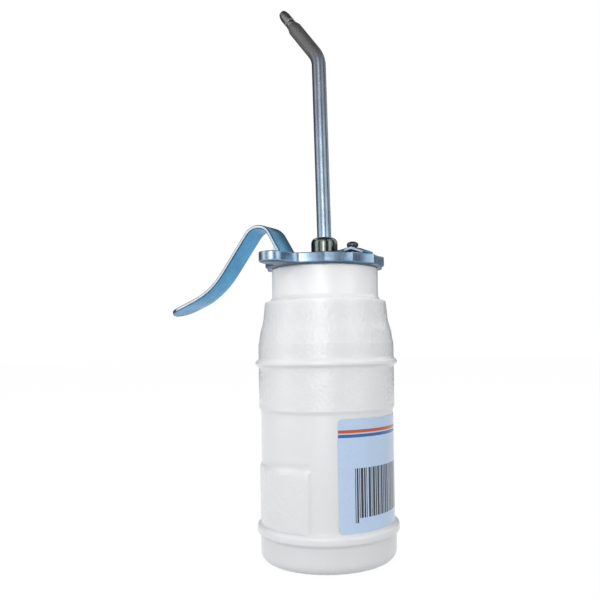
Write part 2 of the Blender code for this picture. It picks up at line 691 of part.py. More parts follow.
def make_lever():
    """Bent steel strip with cheeks on the pin, a ring round the nut and a slotted tent."""
    path = with_stations(lever_line(), LEVER_STATION)
    rings = []
    for i, point in enumerate(path):
        before = path[max(0, i - 1)]
        after = path[min(len(path) - 1, i + 1)]
        along = (after - before).normalized()
        normal = Vector((-along.y, along.x)) * (LEVER_THICKNESS / 2)
        half = lever_width(point.x) / 2
        top = point + normal
        foot = point - normal
        section = ((top, -half), (top, half), (foot, half), (foot, -half))
        rings.append([(face.x, across, face.y) for face, across in section])
    strip = mesh_from(rings, caps=True, loop=False)
    steel = material("zinc_plated_steel", STEEL, 0.3, 1.0)
    lever = place("lever", strip, steel, at=(PIVOT_X, 0, PIVOT_Z))
    level = ARM_Z - PIVOT_Z
    inset = LEVER_THICKNESS / 4
    rise = ARCH_RISE / (ARCH_REACH + HEEL_REACH)
    web = [(HEEL_REACH + CHEEK_RADIUS, level), (HEEL_REACH + inset, level + inset)]
    web += [(-inset, level + (HEEL_REACH + inset) * rise)]
    outline = web + arc((0.0, 0.0), CHEEK_RADIUS, math.radians(140), math.radians(300))
    face = FORK_WIDTH / 2 - CHEEK_INSET
    for low, high in ((-face, -face + CHEEK_THICKNESS), (face - CHEEK_THICKNESS, face)):
        combine(lever, prism(outline, low, high, along="Y"), "UNION", at=(PIVOT_X, 0, PIVOT_Z))
    bore = rod_mesh(PIN_RADIUS + SLIDE_GAP, -FORK_WIDTH, FORK_WIDTH, SMALL_SIDES)
    combine(lever, bore, "DIFFERENCE", at=(PIVOT_X, 0, PIVOT_Z), turn=(-math.pi / 2, 0, 0))
    low = ARM_Z - LEVER_THICKNESS - OVERRUN
    high = ARM_Z + TENT_RISE + LEVER_THICKNESS + OVERRUN
    combine(lever, prism(stadium(0.0, RING_SWING, NUT_RADIUS + RING_GAP), low, high), "DIFFERENCE")
    slot = prism(stadium(ROD_X, ROD_X + SLOT_SWING, ROD_RADIUS + SEAT_GAP), low, high)
    combine(lever, slot, "DIFFERENCE")


def make_rod():
    """Plunger rod with a mushroom button over the lever's tent."""
    low = PISTON_TOP - ROD_SOCKET_DEPTH + SEAT_GAP
    crown = BUTTON_HEIGHT - BUTTON_EDGE
    profile = [(0, low), (ROD_RADIUS, low), (ROD_RADIUS, BUTTON_Z), (BUTTON_RADIUS, BUTTON_Z)]
    for across, rise in BUTTON_SHARES:
        profile.append((BUTTON_RADIUS * across, BUTTON_Z + BUTTON_EDGE + crown * rise))
    steel = material("rod_steel", STEEL, 0.25, 1.0)
    place("plunger_rod", turned(profile, TUBE_SIDES), steel, at=(ROD_X, 0, 0))


def make_packing():
    """Packing ring round the rod, and the washer under it that the barrel clamps."""
    rod_way = ROD_RADIUS + SLIDE_GAP
    ring = sleeve(PACKING_RADIUS, rod_way, PACKING_Z, PACKING_TOP, TUBE_SIDES)
    place("rod_packing", ring, material("packing_rubber", (0.02, 0.02, 0.02), 0.7, 0.0), at=(ROD_X, 0, 0))
    washer = sleeve(BARREL_RADIUS, rod_way, WASHER_Z, WASHER_Z + WASHER_THICKNESS, TUBE_SIDES)
    place("packing_washer", washer, material("washer_brass", BRASS, 0.35, 1.0), at=(ROD_X, 0, 0))


def make_barrel():
    """Pump barrel with its outlet port facing the central bore."""
    brass = material("barrel_brass", BRASS, 0.3, 1.0)
    tube = sleeve(BARREL_RADIUS, BARREL_BORE, BARREL_Z, BARREL_TOP, HEAD_SIDES)
    barrel = place("pump_barrel", tube, brass, at=(ROD_X, 0, 0))
    port = rod_mesh(CHANNEL_RADIUS, 0.0, BARREL_RADIUS + OVERRUN, SMALL_SIDES // 2)
    combine(barrel, port, "DIFFERENCE", at=(ROD_X, 0, PORT_Z), turn=(0, -math.pi / 2, 0))


def make_piston():
    """Piston with a seal groove and a ball chamber that opens above the seal."""
    floor = PISTON_Z + PISTON_FLOOR
    land = PISTON_Z + PISTON_LAND
    outer = BARREL_BORE - SLIDE_GAP
    seal_low = PISTON_Z + SEAL_BASE
    seal_high = seal_low + SEAL_HEIGHT
    chamber_top = floor + PISTON_CHAMBER_HEIGHT
    socket = PISTON_TOP - ROD_SOCKET_DEPTH
    body = [(0, PISTON_Z), (outer, PISTON_Z), (outer, seal_low), (SEAL_GROOVE_RADIUS, seal_low)]
    body += [(SEAL_GROOVE_RADIUS, seal_high), (outer, seal_high), (outer, land)]
    body += [(PISTON_NECK_RADIUS, land), (PISTON_NECK_RADIUS, PISTON_TOP)]
    body += [(ROD_RADIUS + SLIDE_GAP, PISTON_TOP), (ROD_RADIUS + SLIDE_GAP, socket), (0, socket)]
    brass = material("piston_brass", BRASS, 0.3, 1.0)
    piston = place("piston", turned(body, TUBE_SIDES), brass, at=(ROD_X, 0, 0))
    way = [(0, PISTON_Z - OVERRUN), (PISTON_SEAT_RADIUS, PISTON_Z - OVERRUN), (PISTON_SEAT_RADIUS, floor)]
    way += [(PISTON_CHAMBER_RADIUS, floor), (PISTON_CHAMBER_RADIUS, chamber_top), (0, chamber_top)]
    combine(piston, turned(way, TUBE_SIDES), "DIFFERENCE", at=(ROD_X, 0, 0))
    port_z = (land + chamber_top) / 2
    port = rod_mesh(PISTON_PORT_RADIUS, -PISTON_NECK_RADIUS - OVERRUN, PISTON_NECK_RADIUS + OVERRUN, 8)
    combine(piston, port, "DIFFERENCE", at=(ROD_X, 0, port_z), turn=(math.pi / 2, 0, 0))
    seal = [(outer, seal_low + SLIDE_GAP), (outer, seal_high - SLIDE_GAP)]
    seal += [(SEAL_GROOVE_RADIUS + SLIDE_GAP, seal_high - SLIDE_GAP)]
    seal += [(SEAL_GROOVE_RADIUS + SLIDE_GAP, seal_low + SLIDE_GAP)]
    rubber = material("seal_rubber", (0.02, 0.02, 0.02), 0.6, 0.0)
    place("piston_seal", turned(seal, TUBE_SIDES, loop=True), rubber, at=(ROD_X, 0, 0))
    place_ball("piston_ball", PISTON_BALL_RADIUS, PISTON_SEAT_RADIUS, floor)


def place_ball(name, radius, seat_radius, seat_z):
    """A check ball resting on the rim of its seat."""
    bm = bmesh.new()
    bmesh.ops.create_icosphere(bm, subdivisions=2, radius=radius)
    mesh = bpy.data.meshes.new(name)
    bm.to_mesh(mesh)
    bm.free()
    height = seat_z + math.sqrt(radius**2 - seat_radius**2) + SLIDE_GAP
    place(name, mesh, material(name + "_steel", STEEL, 0.15, 1.0), at=(ROD_X, 0, height))


def make_spring():
    """Return spring round the rod, from the washer down to the piston."""
    half_wire = SPRING_WIRE / 2
    high = SPRING_TOP - half_wire
    low = PISTON_TOP + SEAT_GAP + half_wire
    total = SPRING_TURNS * SPRING_POINTS
    rings = []
    for i in range(total + 1):
        angle = math.tau * i / SPRING_POINTS
        across = Vector((math.cos(angle), math.sin(angle), 0.0))
        centre = across * SPRING_MEAN_RADIUS + Vector((0, 0, low + (high - low) * i / total))
        turns = [math.tau * k / SPRING_SIDES for k in range(SPRING_SIDES)]
        up = Vector((0.0, 0.0, half_wire))
        rings.append([centre + across * half_wire * math.cos(t) + up * math.sin(t) for t in turns])
    wire = mesh_from(rings, caps=True, loop=False)
    place("return_spring", wire, material("spring_steel", STEEL, 0.25, 1.0), at=(ROD_X, 0, 0))


def make_foot_valve():
    """Foot valve at the barrel's lower end: body, ball and the cross pin that keeps it in."""
    spigot_z = VALVE_Z + VALVE_COLLAR_HEIGHT
    spigot_top = spigot_z + VALVE_SPIGOT_HEIGHT
    seat_z = spigot_top - VALVE_CHAMBER_DEPTH
    nipple_z = VALVE_Z - NIPPLE_LENGTH
    body = [(NIPPLE_RADIUS, nipple_z), (NIPPLE_RADIUS, VALVE_Z), (BARREL_RADIUS, VALVE_Z)]
    body += [(BARREL_RADIUS, spigot_z), (VALVE_SPIGOT_RADIUS, spigot_z), (VALVE_SPIGOT_RADIUS, spigot_top)]
    body += [(VALVE_CHAMBER_RADIUS, spigot_top), (VALVE_CHAMBER_RADIUS, seat_z)]
    body += [(VALVE_SEAT_RADIUS, seat_z), (VALVE_SEAT_RADIUS, nipple_z)]
    brass = material("valve_brass", BRASS, 0.3, 1.0)
    valve = place("foot_valve_body", turned(body, TUBE_SIDES, loop=True), brass, at=(ROD_X, 0, 0))
    ball_top = seat_z + math.sqrt(VALVE_BALL_RADIUS**2 - VALVE_SEAT_RADIUS**2) + VALVE_BALL_RADIUS
    pin_z = ball_top + SLIDE_GAP + VALVE_BALL_LIFT + VALVE_PIN_RADIUS + VALVE_PIN_GAP
    hole = rod_mesh(VALVE_PIN_RADIUS + VALVE_PIN_GAP, -BARREL_RADIUS, BARREL_RADIUS, 8)
    combine(valve, hole, "DIFFERENCE", at=(ROD_X, 0, pin_z), turn=(math.pi / 2, 0, 0))
    pin = rod_mesh(VALVE_PIN_RADIUS, -VALVE_SPIGOT_RADIUS, VALVE_SPIGOT_RADIUS, 8)
    pin_obj = place("foot_valve_pin", pin, material("pin_steel", STEEL, 0.3, 1.0), at=(ROD_X, 0, pin_z))
    pin_obj.rotation_euler = (math.pi / 2, 0, 0)
    place_ball("foot_valve_ball", VALVE_BALL_RADIUS, VALVE_SEAT_RADIUS, seat_z)


def make_dip_tube():
    """Suction tube on the valve's nipple, cut on the slant near the floor."""
    low = BASE_THICKNESS + DIP_FLOOR_GAP
    high = VALVE_Z - SEAT_GAP
    outer = DIP_BORE + DIP_WALL
    rings = []
    for radius, top in ((outer, False), (outer, True), (DIP_BORE, True), (DIP_BORE, False)):
        ring = []
        for i in range(TUBE_SIDES):
            angle = math.tau * i / TUBE_SIDES
            x = radius * math.cos(angle)
            slant = low + DIP_CUT_RISE * (x + outer) / (2 * outer)
            ring.append((x, radius * math.sin(angle), high if top else slant))
        rings.append(ring)
    tube = mesh_from(rings, caps=False, loop=True)
    place("dip_tube", tube, material("dip_polyethylene", (0.8, 0.8, 0.78), 0.4, 0.0), at=(ROD_X, 0, 0))


def make_spout_fittings():
    """Seal on the stub, collar on the tube's foot and the union nut over both."""
    seal_z = STUB_TOP + SEAT_GAP
    seal = sleeve(STUB_RADIUS - SLIDE_GAP, SPOUT_BORE, seal_z, seal_z + SPOUT_SEAL_THICKNESS, SMALL_SIDES)
    place("spout_seal", seal, material("spout_rubber", (0.02, 0.02, 0.02), 0.6, 0.0))
    foot = spout_foot()
    collar = sleeve(COLLAR_RADIUS, SPOUT_RADIUS + SLIDE_GAP, foot, foot + COLLAR_HEIGHT, SMALL_SIDES)
    place("spout_collar", collar, material("collar_brass", BRASS, 0.3, 1.0))
    low = FLANGE_TOP + NUT_LIFT
    high = low + NUT_HEIGHT
    bore = STUB_RADIUS + SEAT_GAP
    throat = SPOUT_RADIUS + SEAT_GAP
    ceiling = foot + COLLAR_HEIGHT + SEAT_GAP
    profile = [(bore, low), (NUT_RADIUS, low)]
    for i in range(NUT_DOME_STEPS + 1):
        turn = math.pi / 2 * i / NUT_DOME_STEPS
        radius = NUT_TOP_RADIUS + (NUT_RADIUS - NUT_TOP_RADIUS) * math.cos(turn)
        profile.append((radius, high - NUT_DOME + NUT_DOME * math.sin(turn)))
    profile += [(throat, high), (throat, ceiling), (bore, ceiling)]
    place("spout_nut", turned(profile, HEAD_SIDES, loop=True), material("nut_brass", BRASS, 0.3, 1.0))


def spout_foot():
    """Height of the tube's lower end, on its seal."""
    return STUB_TOP + SEAT_GAP + SPOUT_SEAL_THICKNESS + SEAT_GAP


def spout_line():
    """Middle line of the spout tube in the XZ plane, foot to end."""
    foot = spout_foot()
    knee = (-SPOUT_RISE * math.sin(SPOUT_LEAN), foot + SPOUT_RISE * math.cos(SPOUT_LEAN))
    end_x = knee[0] - SPOUT_END_LENGTH * math.sin(SPOUT_BEND)
    end = (end_x, knee[1] + SPOUT_END_LENGTH * math.cos(SPOUT_BEND))
    corners = [(0.0, foot), (0.0, foot + SPOUT_STRAIGHT), knee, end]
    return rounded(corners, [0, SPOUT_BEND_RADIUS], step=math.radians(7))


def swept(path, outer, inner, sides):
    """A tube along an (x, z) path, open at both ends."""
    walls = {outer: [], inner: []}
    for i, point in enumerate(path):
        along = (path[min(len(path) - 1, i + 1)] - path[max(0, i - 1)]).normalized()
        across = Vector((along.y, 0.0, -along.x))
        centre = Vector((point.x, 0.0, point.y))
        for radius, rings in walls.items():
            ring = []
            for k in range(sides):
                angle = math.tau * k / sides
                sideways = Vector((0.0, radius * math.sin(angle), 0.0))
                ring.append(centre + across * radius * math.cos(angle) + sideways)
            rings.append(ring)
    return mesh_from(walls[outer] + walls[inner][::-1], caps=False, loop=True)


def make_spout():
    """Bent steel tube with a stepped nozzle pressed in its end."""
    path = spout_line()
    bore = SPOUT_RADIUS - SPOUT_WALL
    tube = swept(path, SPOUT_RADIUS, bore, TUBE_SIDES)
    place("spout_tube", tube, material("spout_steel", STEEL, 0.3, 1.0))
    end = path[-1]
    along = (path[-1] - path[-2]).normalized()
    shank = bore - SLIDE_GAP
    face = SEAT_GAP
    mouth = NOZZLE_LENGTH
    profile = [(NOZZLE_BORE, -NOZZLE_SHANK), (shank, -NOZZLE_SHANK), (shank, face), (NOZZLE_RADIUS, face)]
    profile += [(NOZZLE_RADIUS, mouth - NOZZLE_TAPER)]
    for share, narrow in ((0.55, 0.3), (0.85, 0.65), (1.0, 1.0)):
        radius = NOZZLE_RADIUS - (NOZZLE_RADIUS - NOZZLE_MOUTH_RADIUS) * narrow
        profile.append((radius, mouth - NOZZLE_TAPER * (1 - share)))
    profile += [(NOZZLE_BORE, mouth)]
    nozzle = turned(profile, TUBE_SIDES, loop=True)
    steel = material("nozzle_steel", (0.2, 0.2, 0.22), 0.4, 1.0)
    obj = place("nozzle_tip", nozzle, steel, at=(end.x, 0, end.y))
    obj.rotation_euler = (0, math.atan2(along.x, along.y), 0)


def main():
    clear_scene()
    make_bottle()
    make_label()
    make_gasket()
    make_head()
    make_lever_pin()
    make_lever()
    make_rod()
    make_packing()
    make_barrel()
    make_piston()
    make_spring()
    make_foot_valve()
    make_dip_tube()
    make_spout_fittings()
    make_spout()


main()
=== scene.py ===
"""Fine shapes, finishes and the stage for a thumb-pump workshop oiler."""
import math

import bmesh
import bpy
from bpy.props import FloatProperty, FloatVectorProperty, IntProperty, PointerProperty
from mathutils import Matrix, Vector


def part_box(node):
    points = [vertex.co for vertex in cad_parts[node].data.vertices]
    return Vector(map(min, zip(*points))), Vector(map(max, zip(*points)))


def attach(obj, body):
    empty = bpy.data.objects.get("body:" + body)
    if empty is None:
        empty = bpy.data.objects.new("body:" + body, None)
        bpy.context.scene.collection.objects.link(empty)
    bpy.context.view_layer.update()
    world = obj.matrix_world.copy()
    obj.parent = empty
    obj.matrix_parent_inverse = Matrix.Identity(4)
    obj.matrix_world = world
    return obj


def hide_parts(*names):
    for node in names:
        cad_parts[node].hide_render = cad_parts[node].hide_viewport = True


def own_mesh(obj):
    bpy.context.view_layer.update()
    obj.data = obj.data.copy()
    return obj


bl_info = {
    "name": "Thumb-pump workshop oiler",
    "version": (1, 0, 0),
    "blender": (4, 5, 0),
    "location": "View3D > Sidebar > Oiler",
    "description": "Dresses the packed oiler with fine shapes, finishes and a plain studio",
    "category": "Object",
}

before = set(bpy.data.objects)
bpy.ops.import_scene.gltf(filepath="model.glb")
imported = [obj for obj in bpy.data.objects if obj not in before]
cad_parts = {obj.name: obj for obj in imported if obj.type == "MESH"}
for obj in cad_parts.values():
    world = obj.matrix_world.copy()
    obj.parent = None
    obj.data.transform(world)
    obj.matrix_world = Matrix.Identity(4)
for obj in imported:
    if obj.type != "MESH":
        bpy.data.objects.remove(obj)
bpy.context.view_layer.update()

MM = 0.001
QUARTER = math.pi / 2


def linear(code):
    """Linear colour from an sRGB hex value."""
    channels = [int(code[i : i + 2], 16) / 255 for i in (0, 2, 4)]
    return tuple(c / 12.92 if c <= 0.04045 else ((c + 0.055) / 1.055) ** 2.4 for c in channels)


def rgba(code):
    return (*linear(code), 1.0)


def colour_property(name, description, code):
    return FloatVectorProperty(
        name=name, description=description, subtype="COLOR", size=3, min=0, max=1, default=linear(code)
    )


def length_property(name, description, value):
    return FloatProperty(name=name, description=description, unit="LENGTH", precision=5, default=value)


def angle_property(name, description, degrees):
    value = math.radians(degrees)
    return FloatProperty(name=name, description=description, subtype="ANGLE", default=value)


class RoundNode:
    """Axis, radius and heights of an upright round CAD node."""

    def __init__(self, name):
        low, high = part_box(name)
        self.x = (low.x + high.x) / 2
        self.radius = (high.y - low.y) / 2
        self.low = low.z
        self.high = high.z


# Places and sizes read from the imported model
BOTTLE = RoundNode("bottle")
GASKET = RoundNode("neck_gasket")
NUT = RoundNode("spout_nut")
COLLAR = RoundNode("spout_collar")
BARREL = RoundNode("pump_barrel")
PACKING = RoundNode("rod_packing")
SPRING = RoundNode("return_spring")
ROD = RoundNode("plunger_rod")
PISTON = RoundNode("piston")
FOOT_BODY = RoundNode("foot_valve_body")
DIP = RoundNode("dip_tube")
HEAD_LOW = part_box("pump_head")[0]
TUBE_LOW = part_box("spout_tube")[0]
PIN_LOW, PIN_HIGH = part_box("lever_pin")
LABEL_LOW, LABEL_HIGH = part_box("label")
PIVOT = (PIN_LOW + PIN_HIGH) / 2
ROD_X = BARREL.x

# Sizes that several pieces share
PLUG_LENGTH = 10.0 * MM
CLEARANCE = 0.3 * MM
FUSE_DEPTH = 0.6 * MM
PIN_BORE = 1.35 * MM


class BottleSettings(bpy.types.PropertyGroup):
    wall: length_property("Wall", "Thickness of the blown wall", 1.2 * MM)
    panel: length_property("Panel radius", "Radius behind the label", 27.75 * MM)
    body: length_property("Body radius", "Radius between the beads", 28.5 * MM)
    heel: length_property("Heel radius", "Radius below the lower bead", 28.6 * MM)
    neck: length_property("Neck radius", "Outside radius of the neck", 22.35 * MM)
    bore: length_property("Neck bore", "Inside radius of the neck", 19.8 * MM)
    grip: length_property("Grip height", "How far the grip patch stands out", 0.85 * MM)
    pebble: length_property("Pebble size", "Spacing of the moulded pebbles", 1.4 * MM)
    thread_pitch: length_property("Thread pitch", "Rise of the neck thread in a turn", 3.2 * MM)
    sides: IntProperty(name="Sides", description="Facets round the bottle", default=224, min=32)
    colour: colour_property("Plastic", "Translucent plastic in the light", "FBFBFB")
    shade: colour_property("Thick plastic", "Where the wall is thicker", "F5F6F7")
    # Painted shade: a darker plastic colour below the neck and towards the base, standing in for less
    # light there
    painted_low_shade: colour_property("Low plastic", "Towards the base, where less light gets through", "D8D9DB")


class LabelSettings(bpy.types.PropertyGroup):
    lift: length_property("Lift", "Gap between the bottle and the label", 0.05 * MM)
    thickness: length_property("Thickness", "Thickness of the label", 0.2 * MM)
    corner: length_property("Corner", "Radius of the label's corners", 1.8 * MM)
    stripe: length_property("Stripe", "Height of one printed stripe", 1.25 * MM)
    module: length_property("Bar module", "Width of the narrowest bar", 0.36 * MM)
    paper: colour_property("Paper", "Ground colour of the label", "BBD2ED")
    warm: colour_property("Warm stripe", "Upper stripe", "C04818")
    cool: colour_property("Cool stripe", "Lower stripe", "005C9B")
    ink: colour_property("Ink", "Printed bars", "14171D")


class HeadSettings(bpy.types.PropertyGroup):
    rim: length_property("Rim radius", "Radius over the ridges of the rim", 25.3 * MM)
    rim_height: length_property("Rim height", "Thickness of the rim", 4.3 * MM)
    flutes: IntProperty(name="Flutes", description="Hollows round the rim", default=14, min=3)
    flute_depth: length_property("Flute depth", "Depth of each hollow", 1.3 * MM)
    lug_reach: length_property("Lug reach", "Distance from the axis to a lug's tip", 37.5 * MM)
    lug_half: length_property("Lug half width", "Half the width of a lug", 5.2 * MM)
    lug_fillet: length_property("Lug fillet", "Radius between a lug and the rim", 6.0 * MM)
    plug: length_property("Plug radius", "Core radius of the threaded plug", 18.7 * MM)
    plug_wall: length_property("Plug wall", "Wall of the plug", 2.4 * MM)
    stub: length_property("Stub radius", "Radius of the spout's stub", 4.0 * MM)
    colour: colour_property("Zinc", "Blue chromated zinc", "98B5CF")
    # Painted shade: the dark colour round the rim's foot stands in for the shade under the rim
    dark: colour_property("Dark zinc", "Casting skin round its foot", "33435A")
    tint: colour_property("Tint", "Yellow tint of the chromate", "A8966E")


class LeverSettings(bpy.types.PropertyGroup):
    thickness: length_property("Thickness", "Thickness of the strip", 1.6 * MM)
    edge: length_property("Edge", "Rounding of the strip's edges", 0.35 * MM)
    colour: colour_property("Plated steel", "Zinc plating with a blue cast", "5494BC")
    # Painted highlight: a brighter colour on the strip's side faces
    edge_highlight_colour: colour_property("Edge", "Brighter plating on the sheared edges", "BCCAD6")
    # Painted shade: a darker colour on the strip's rounded corners
    corner_shade_colour: colour_property("Corner", "Dull plating on the rounded corners", "44607A")


class SpoutSettings(bpy.types.PropertyGroup):
    radius: length_property("Tube radius", "Radius of the spout tube", 3.0 * MM)
    wall: length_property("Tube wall", "Wall of the spout tube", 0.9 * MM)
    bend: length_property("Bend radius", "Radius of the bend's middle line", 10.0 * MM)
    colour: colour_property("Tube", "Plated tube", "A6B9CA")
    bend_tone: colour_property("Dull plating", "Handled and oily plating at the bend", "71767F")
    nozzle: colour_property("Nozzle", "Turned steel nozzle", "837F7E")
    # A darker colour that the tube takes from the nut up to the bend
    nut: colour_property("Nut", "Oiled brass nut", "717873")


class StageSettings(bpy.types.PropertyGroup):
    distance: length_property("Camera distance", "From the camera to the bottle's axis", 292.6 * MM)
    height: length_property("Camera height", "Height of the camera over the floor", 87.2 * MM)
    azimuth: angle_property("Azimuth", "Camera's turn about the bottle", 30)
    roll: angle_property("Roll", "Camera's roll about its own axis", 0.905)
    lens: FloatProperty(name="Lens", description="Focal length in millimetres", default=41.4, min=1)
    shift_x: FloatProperty(name="Shift X", description="Sideways, in image widths", default=-26 / 600)
    shift_y: FloatProperty(name="Shift Y", description="Upwards, in image widths", default=50 / 600)
    floor: colour_property("Floor", "Plain pale floor", "BCBDBF")


# Materials


def add_node(tree, kind, values=None, links=None, **settings):
    """Add a node with its properties, socket values and incoming links."""
    made = tree.nodes.new(kind)
    for name, value in settings.items():
        setattr(made, name, value)
    for name, value in (values or {}).items():
        made.inputs[name].default_value = value
    for name, source in (links or {}).items():
        tree.links.new(source, made.inputs[name])
    return made


def new_material(name, values):
    """A material with one Principled surface. Returns it, its tree, its shader and its coordinates."""
    made = bpy.data.materials.new(name)
    made.use_nodes = True
    tree = made.node_tree
    tree.nodes.clear()
    shader = add_node(tree, "ShaderNodeBsdfPrincipled", values)
    add_node(tree, "ShaderNodeOutputMaterial", links={"Surface": shader.outputs["BSDF"]})
    made.diffuse_color = values["Base Color"]
    place = add_node(tree, "ShaderNodeTexCoord").outputs["Object"]
    return made, tree, shader, place


def mottle(tree, shader, place, size, detail, stops):
    """Colour a surface by (share, colour) stops in clouds of a real size. Returns the clouds."""
    looks = {"Scale": 1 / size, "Detail": detail}
    clouds = add_node(tree, "ShaderNodeTexNoise", looks, {"Vector": place}).outputs["Fac"]
    tone = add_node(tree, "ShaderNodeValToRGB", links={"Fac": clouds})
    elements = tone.color_ramp.elements
    while len(elements) < len(stops):
        elements.new(1.0)
    for element, (position, colour) in zip(elements, stops):
        element.position = position
        element.color = (*colour, 1.0)
    tree.links.new(tone.outputs["Color"], shader.inputs["Base Color"])
    return clouds


def roughen(tree, shader, pattern, strength, depth, reach=None):
    """Raise a surface by a pattern, which may also take its roughness from one value to another."""
    looks = {"Strength": strength, "Distance": depth}
    bump = add_node(tree, "ShaderNodeBump", looks, {"Height": pattern})
    tree.links.new(bump.outputs["Normal"], shader.inputs["Normal"])
    if reach:
        looks = {"From Min": 0.3, "From Max": 0.7, "To Min": reach[0], "To Max": reach[1]}
        rough = add_node(tree, "ShaderNodeMapRange", looks, {"Value": pattern})
        tree.links.new(rough.outputs["Result"], shader.inputs["Roughness"])


def by_height(tree, start, end):
    """A value that runs from one (height, value) pair to another and stays even past them."""
    place = add_node(tree, "ShaderNodeTexCoord").outputs["Object"]
    height = add_node(tree, "ShaderNodeSeparateXYZ", links={"Vector": place}).outputs["Z"]
    reach = {"From Min": start[0], "From Max": end[0], "To Min": start[1], "To Max": end[1]}
    return add_node(tree, "ShaderNodeMapRange", reach, {"Value": height}).outputs["Result"]


def fade_by_height(tree, shader, colour, start, end):
    """Mix a second colour over the first between two heights, each with the second one's share."""
    first = shader.inputs["Base Color"].links[0].from_socket
    share = by_height(tree, start, end)
    mixed = add_node(tree, "ShaderNodeMix", {7: (*colour, 1.0)}, {0: share, 6: first}, data_type="RGBA")
    tree.links.new(mixed.outputs[2], shader.inputs["Base Color"])


def blown_polyethylene(settings):
    """Blow-moulded polyethylene: waxy, light soaks in a few millimetres, moulded pebbles catch it."""
    values = {
        "Base Color": (*settings.colour, 1.0),
        "Roughness": 0.30,
        "IOR": 1.54,
        "Subsurface Weight": 0.25,
        "Subsurface Radius": (1.0, 1.0, 1.0),
        "Subsurface Scale": 3 * MM,
        "Coat Weight": 0.42,
        # Stands in where an export drops the link to the pebbles
        "Coat Roughness": 0.14,
        "Coat IOR": 1.54,
    }
    made, tree, shader, place = new_material("blown_polyethylene", values)
    mottle(tree, shader, place, 100 / 3 * MM, 2.0, [(0.35, settings.shade), (0.65, settings.colour)])
    # Painted shade: the plastic is mixed darker below the neck, and darker again towards the base
    fade_by_height(tree, shader, settings.painted_low_shade, (LEDGE_Z - 2 * MM, 0.5), (NECK_Z + 3 * MM, 0.0))
    fade_by_height(tree, shader, settings.painted_low_shade, (8 * MM, 0.6), (60 * MM, 0.0))
    mask = add_node(tree, "ShaderNodeAttribute", attribute_name="pebble").outputs["Fac"]
    looks = {"Scale": 1 / settings.pebble, "Smoothness": 0.35, "Randomness": 1.0}
    cells = add_node(tree, "ShaderNodeTexVoronoi", looks, {"Vector": place}, feature="SMOOTH_F1")
    looks = {"Scale": 1 / (1.3 * MM), "Detail": 2.0}
    grain = add_node(tree, "ShaderNodeTexNoise", looks, {"Vector": place})
    links = {0: grain.outputs["Fac"], 2: cells.outputs["Distance"]}
    both = add_node(tree, "ShaderNodeMath", {1: 0.35}, links, operation="MULTIPLY_ADD")
    links = {0: both.outputs[0], 1: mask}
    pebbles = {"Height": add_node(tree, "ShaderNodeMath", links=links, operation="MULTIPLY").outputs[0]}
    skins = {}
    for skin_name, strength, depth in (("wax", 0.25, 0.5 * MM), ("gloss", 1.0, 0.34 * MM)):
        looks = {"Strength": strength, "Distance": depth}
        raised = add_node(tree, "ShaderNodeBump", looks, pebbles, invert=True)
        skins[skin_name] = raised.outputs["Normal"]
    tree.links.new(skins["gloss"], shader.inputs["Coat Normal"])
    glint = add_node(tree, "ShaderNodeMapRange", {"To Min": 0.34, "To Max": 0.07}, {"Value": mask})
    tree.links.new(glint.outputs["Result"], shader.inputs["Coat Roughness"])
    looks = {"Scale": 1 / (9 * MM), "Detail": 1.0}
    ripple = add_node(tree, "ShaderNodeTexNoise", looks, {"Vector": place})
    looks = {"Strength": 0.18, "Distance": 0.6 * MM}
    links = {"Height": ripple.outputs["Fac"], "Normal": skins["wax"]}
    wavy = add_node(tree, "ShaderNodeBump", looks, links)
    tree.links.new(wavy.outputs["Normal"], shader.inputs["Normal"])
    return made


def printed_paper(name, colour, coat):
    """Coated paper or the ink on it: flat colour under a thin gloss, with faint paper tooth."""
    values = {
        "Base Color": (*colour, 1.0),
        "Roughness": 0.38,
        "IOR": 1.5,
        "Coat Weight": coat,
        "Coat Roughness": 0.18,
    }
    made, tree, shader, place = new_material(name, values)
    faded = [channel * 0.93 for channel in colour]
    tooth = mottle(tree, shader, place, 0.8 * MM, 4.0, [(0.3, faded), (0.7, colour)])
    roughen(tree, shader, tooth, 0.12, 0.05 * MM)
    return made


def chromated_casting(settings):
    """Zinc die casting under blue chromate: cloudy blue with faint yellow tints, and painted shade round
    its foot.
    """
    values = {"Base Color": (*settings.colour, 1.0), "Metallic": 1.0, "Roughness": 0.34}
    made, tree, shader, place = new_material("blue_chromated_zinc", values)
    stops = [(0.24, linear("6A849F")), (0.45, settings.colour)]
    stops += [(0.62, linear("AAC4DA")), (0.78, settings.tint)]
    mottle(tree, shader, place, 7 * MM, 5.0, stops)
    rim_foot = HEAD_LOW.z + PLUG_LENGTH
    # Painted shade: dark from just above the rim's foot downward, where shade falls under the rim
    fade_by_height(tree, shader, settings.dark, (rim_foot + 0.3 * MM, 0.85), (rim_foot + 0.9 * MM, 0.0))
    looks = {"Scale": 1 / (0.7 * MM), "Detail": 6.0}
    grit = add_node(tree, "ShaderNodeTexNoise", looks, {"Vector": place}).outputs["Fac"]
    roughen(tree, shader, grit, 0.18, 0.08 * MM, (0.27, 0.37))
    return made


def drawn_metal(name, colour, roughness, grain_mm, stretch, variation=0.15):
    """A drawn, rolled or turned metal: fine grain lines along one way over a slow change of tone."""
    values = {"Base Color": (*colour, 1.0), "Metallic": 1.0, "Roughness": roughness}
    made, tree, shader, place = new_material(name, values)
    mapped = add_node(tree, "ShaderNodeMapping", {"Scale": stretch}, {"Vector": place}).outputs["Vector"]
    looks = {"Scale": 1 / (grain_mm * MM), "Detail": 5.0, "Roughness": 0.6}
    grain = add_node(tree, "ShaderNodeTexNoise", looks, {"Vector": mapped}).outputs["Fac"]
    dim = [channel * (1 - variation) for channel in colour]
    lit = [min(1.0, channel * (1 + variation)) for channel in colour]
    mottle(tree, shader, place, 11 * MM, 3.0, [(0.3, dim), (0.7, lit)])
    roughen(tree, shader, grain, 0.12, 0.04 * MM, (roughness - 0.06, roughness + 0.08))
    return made


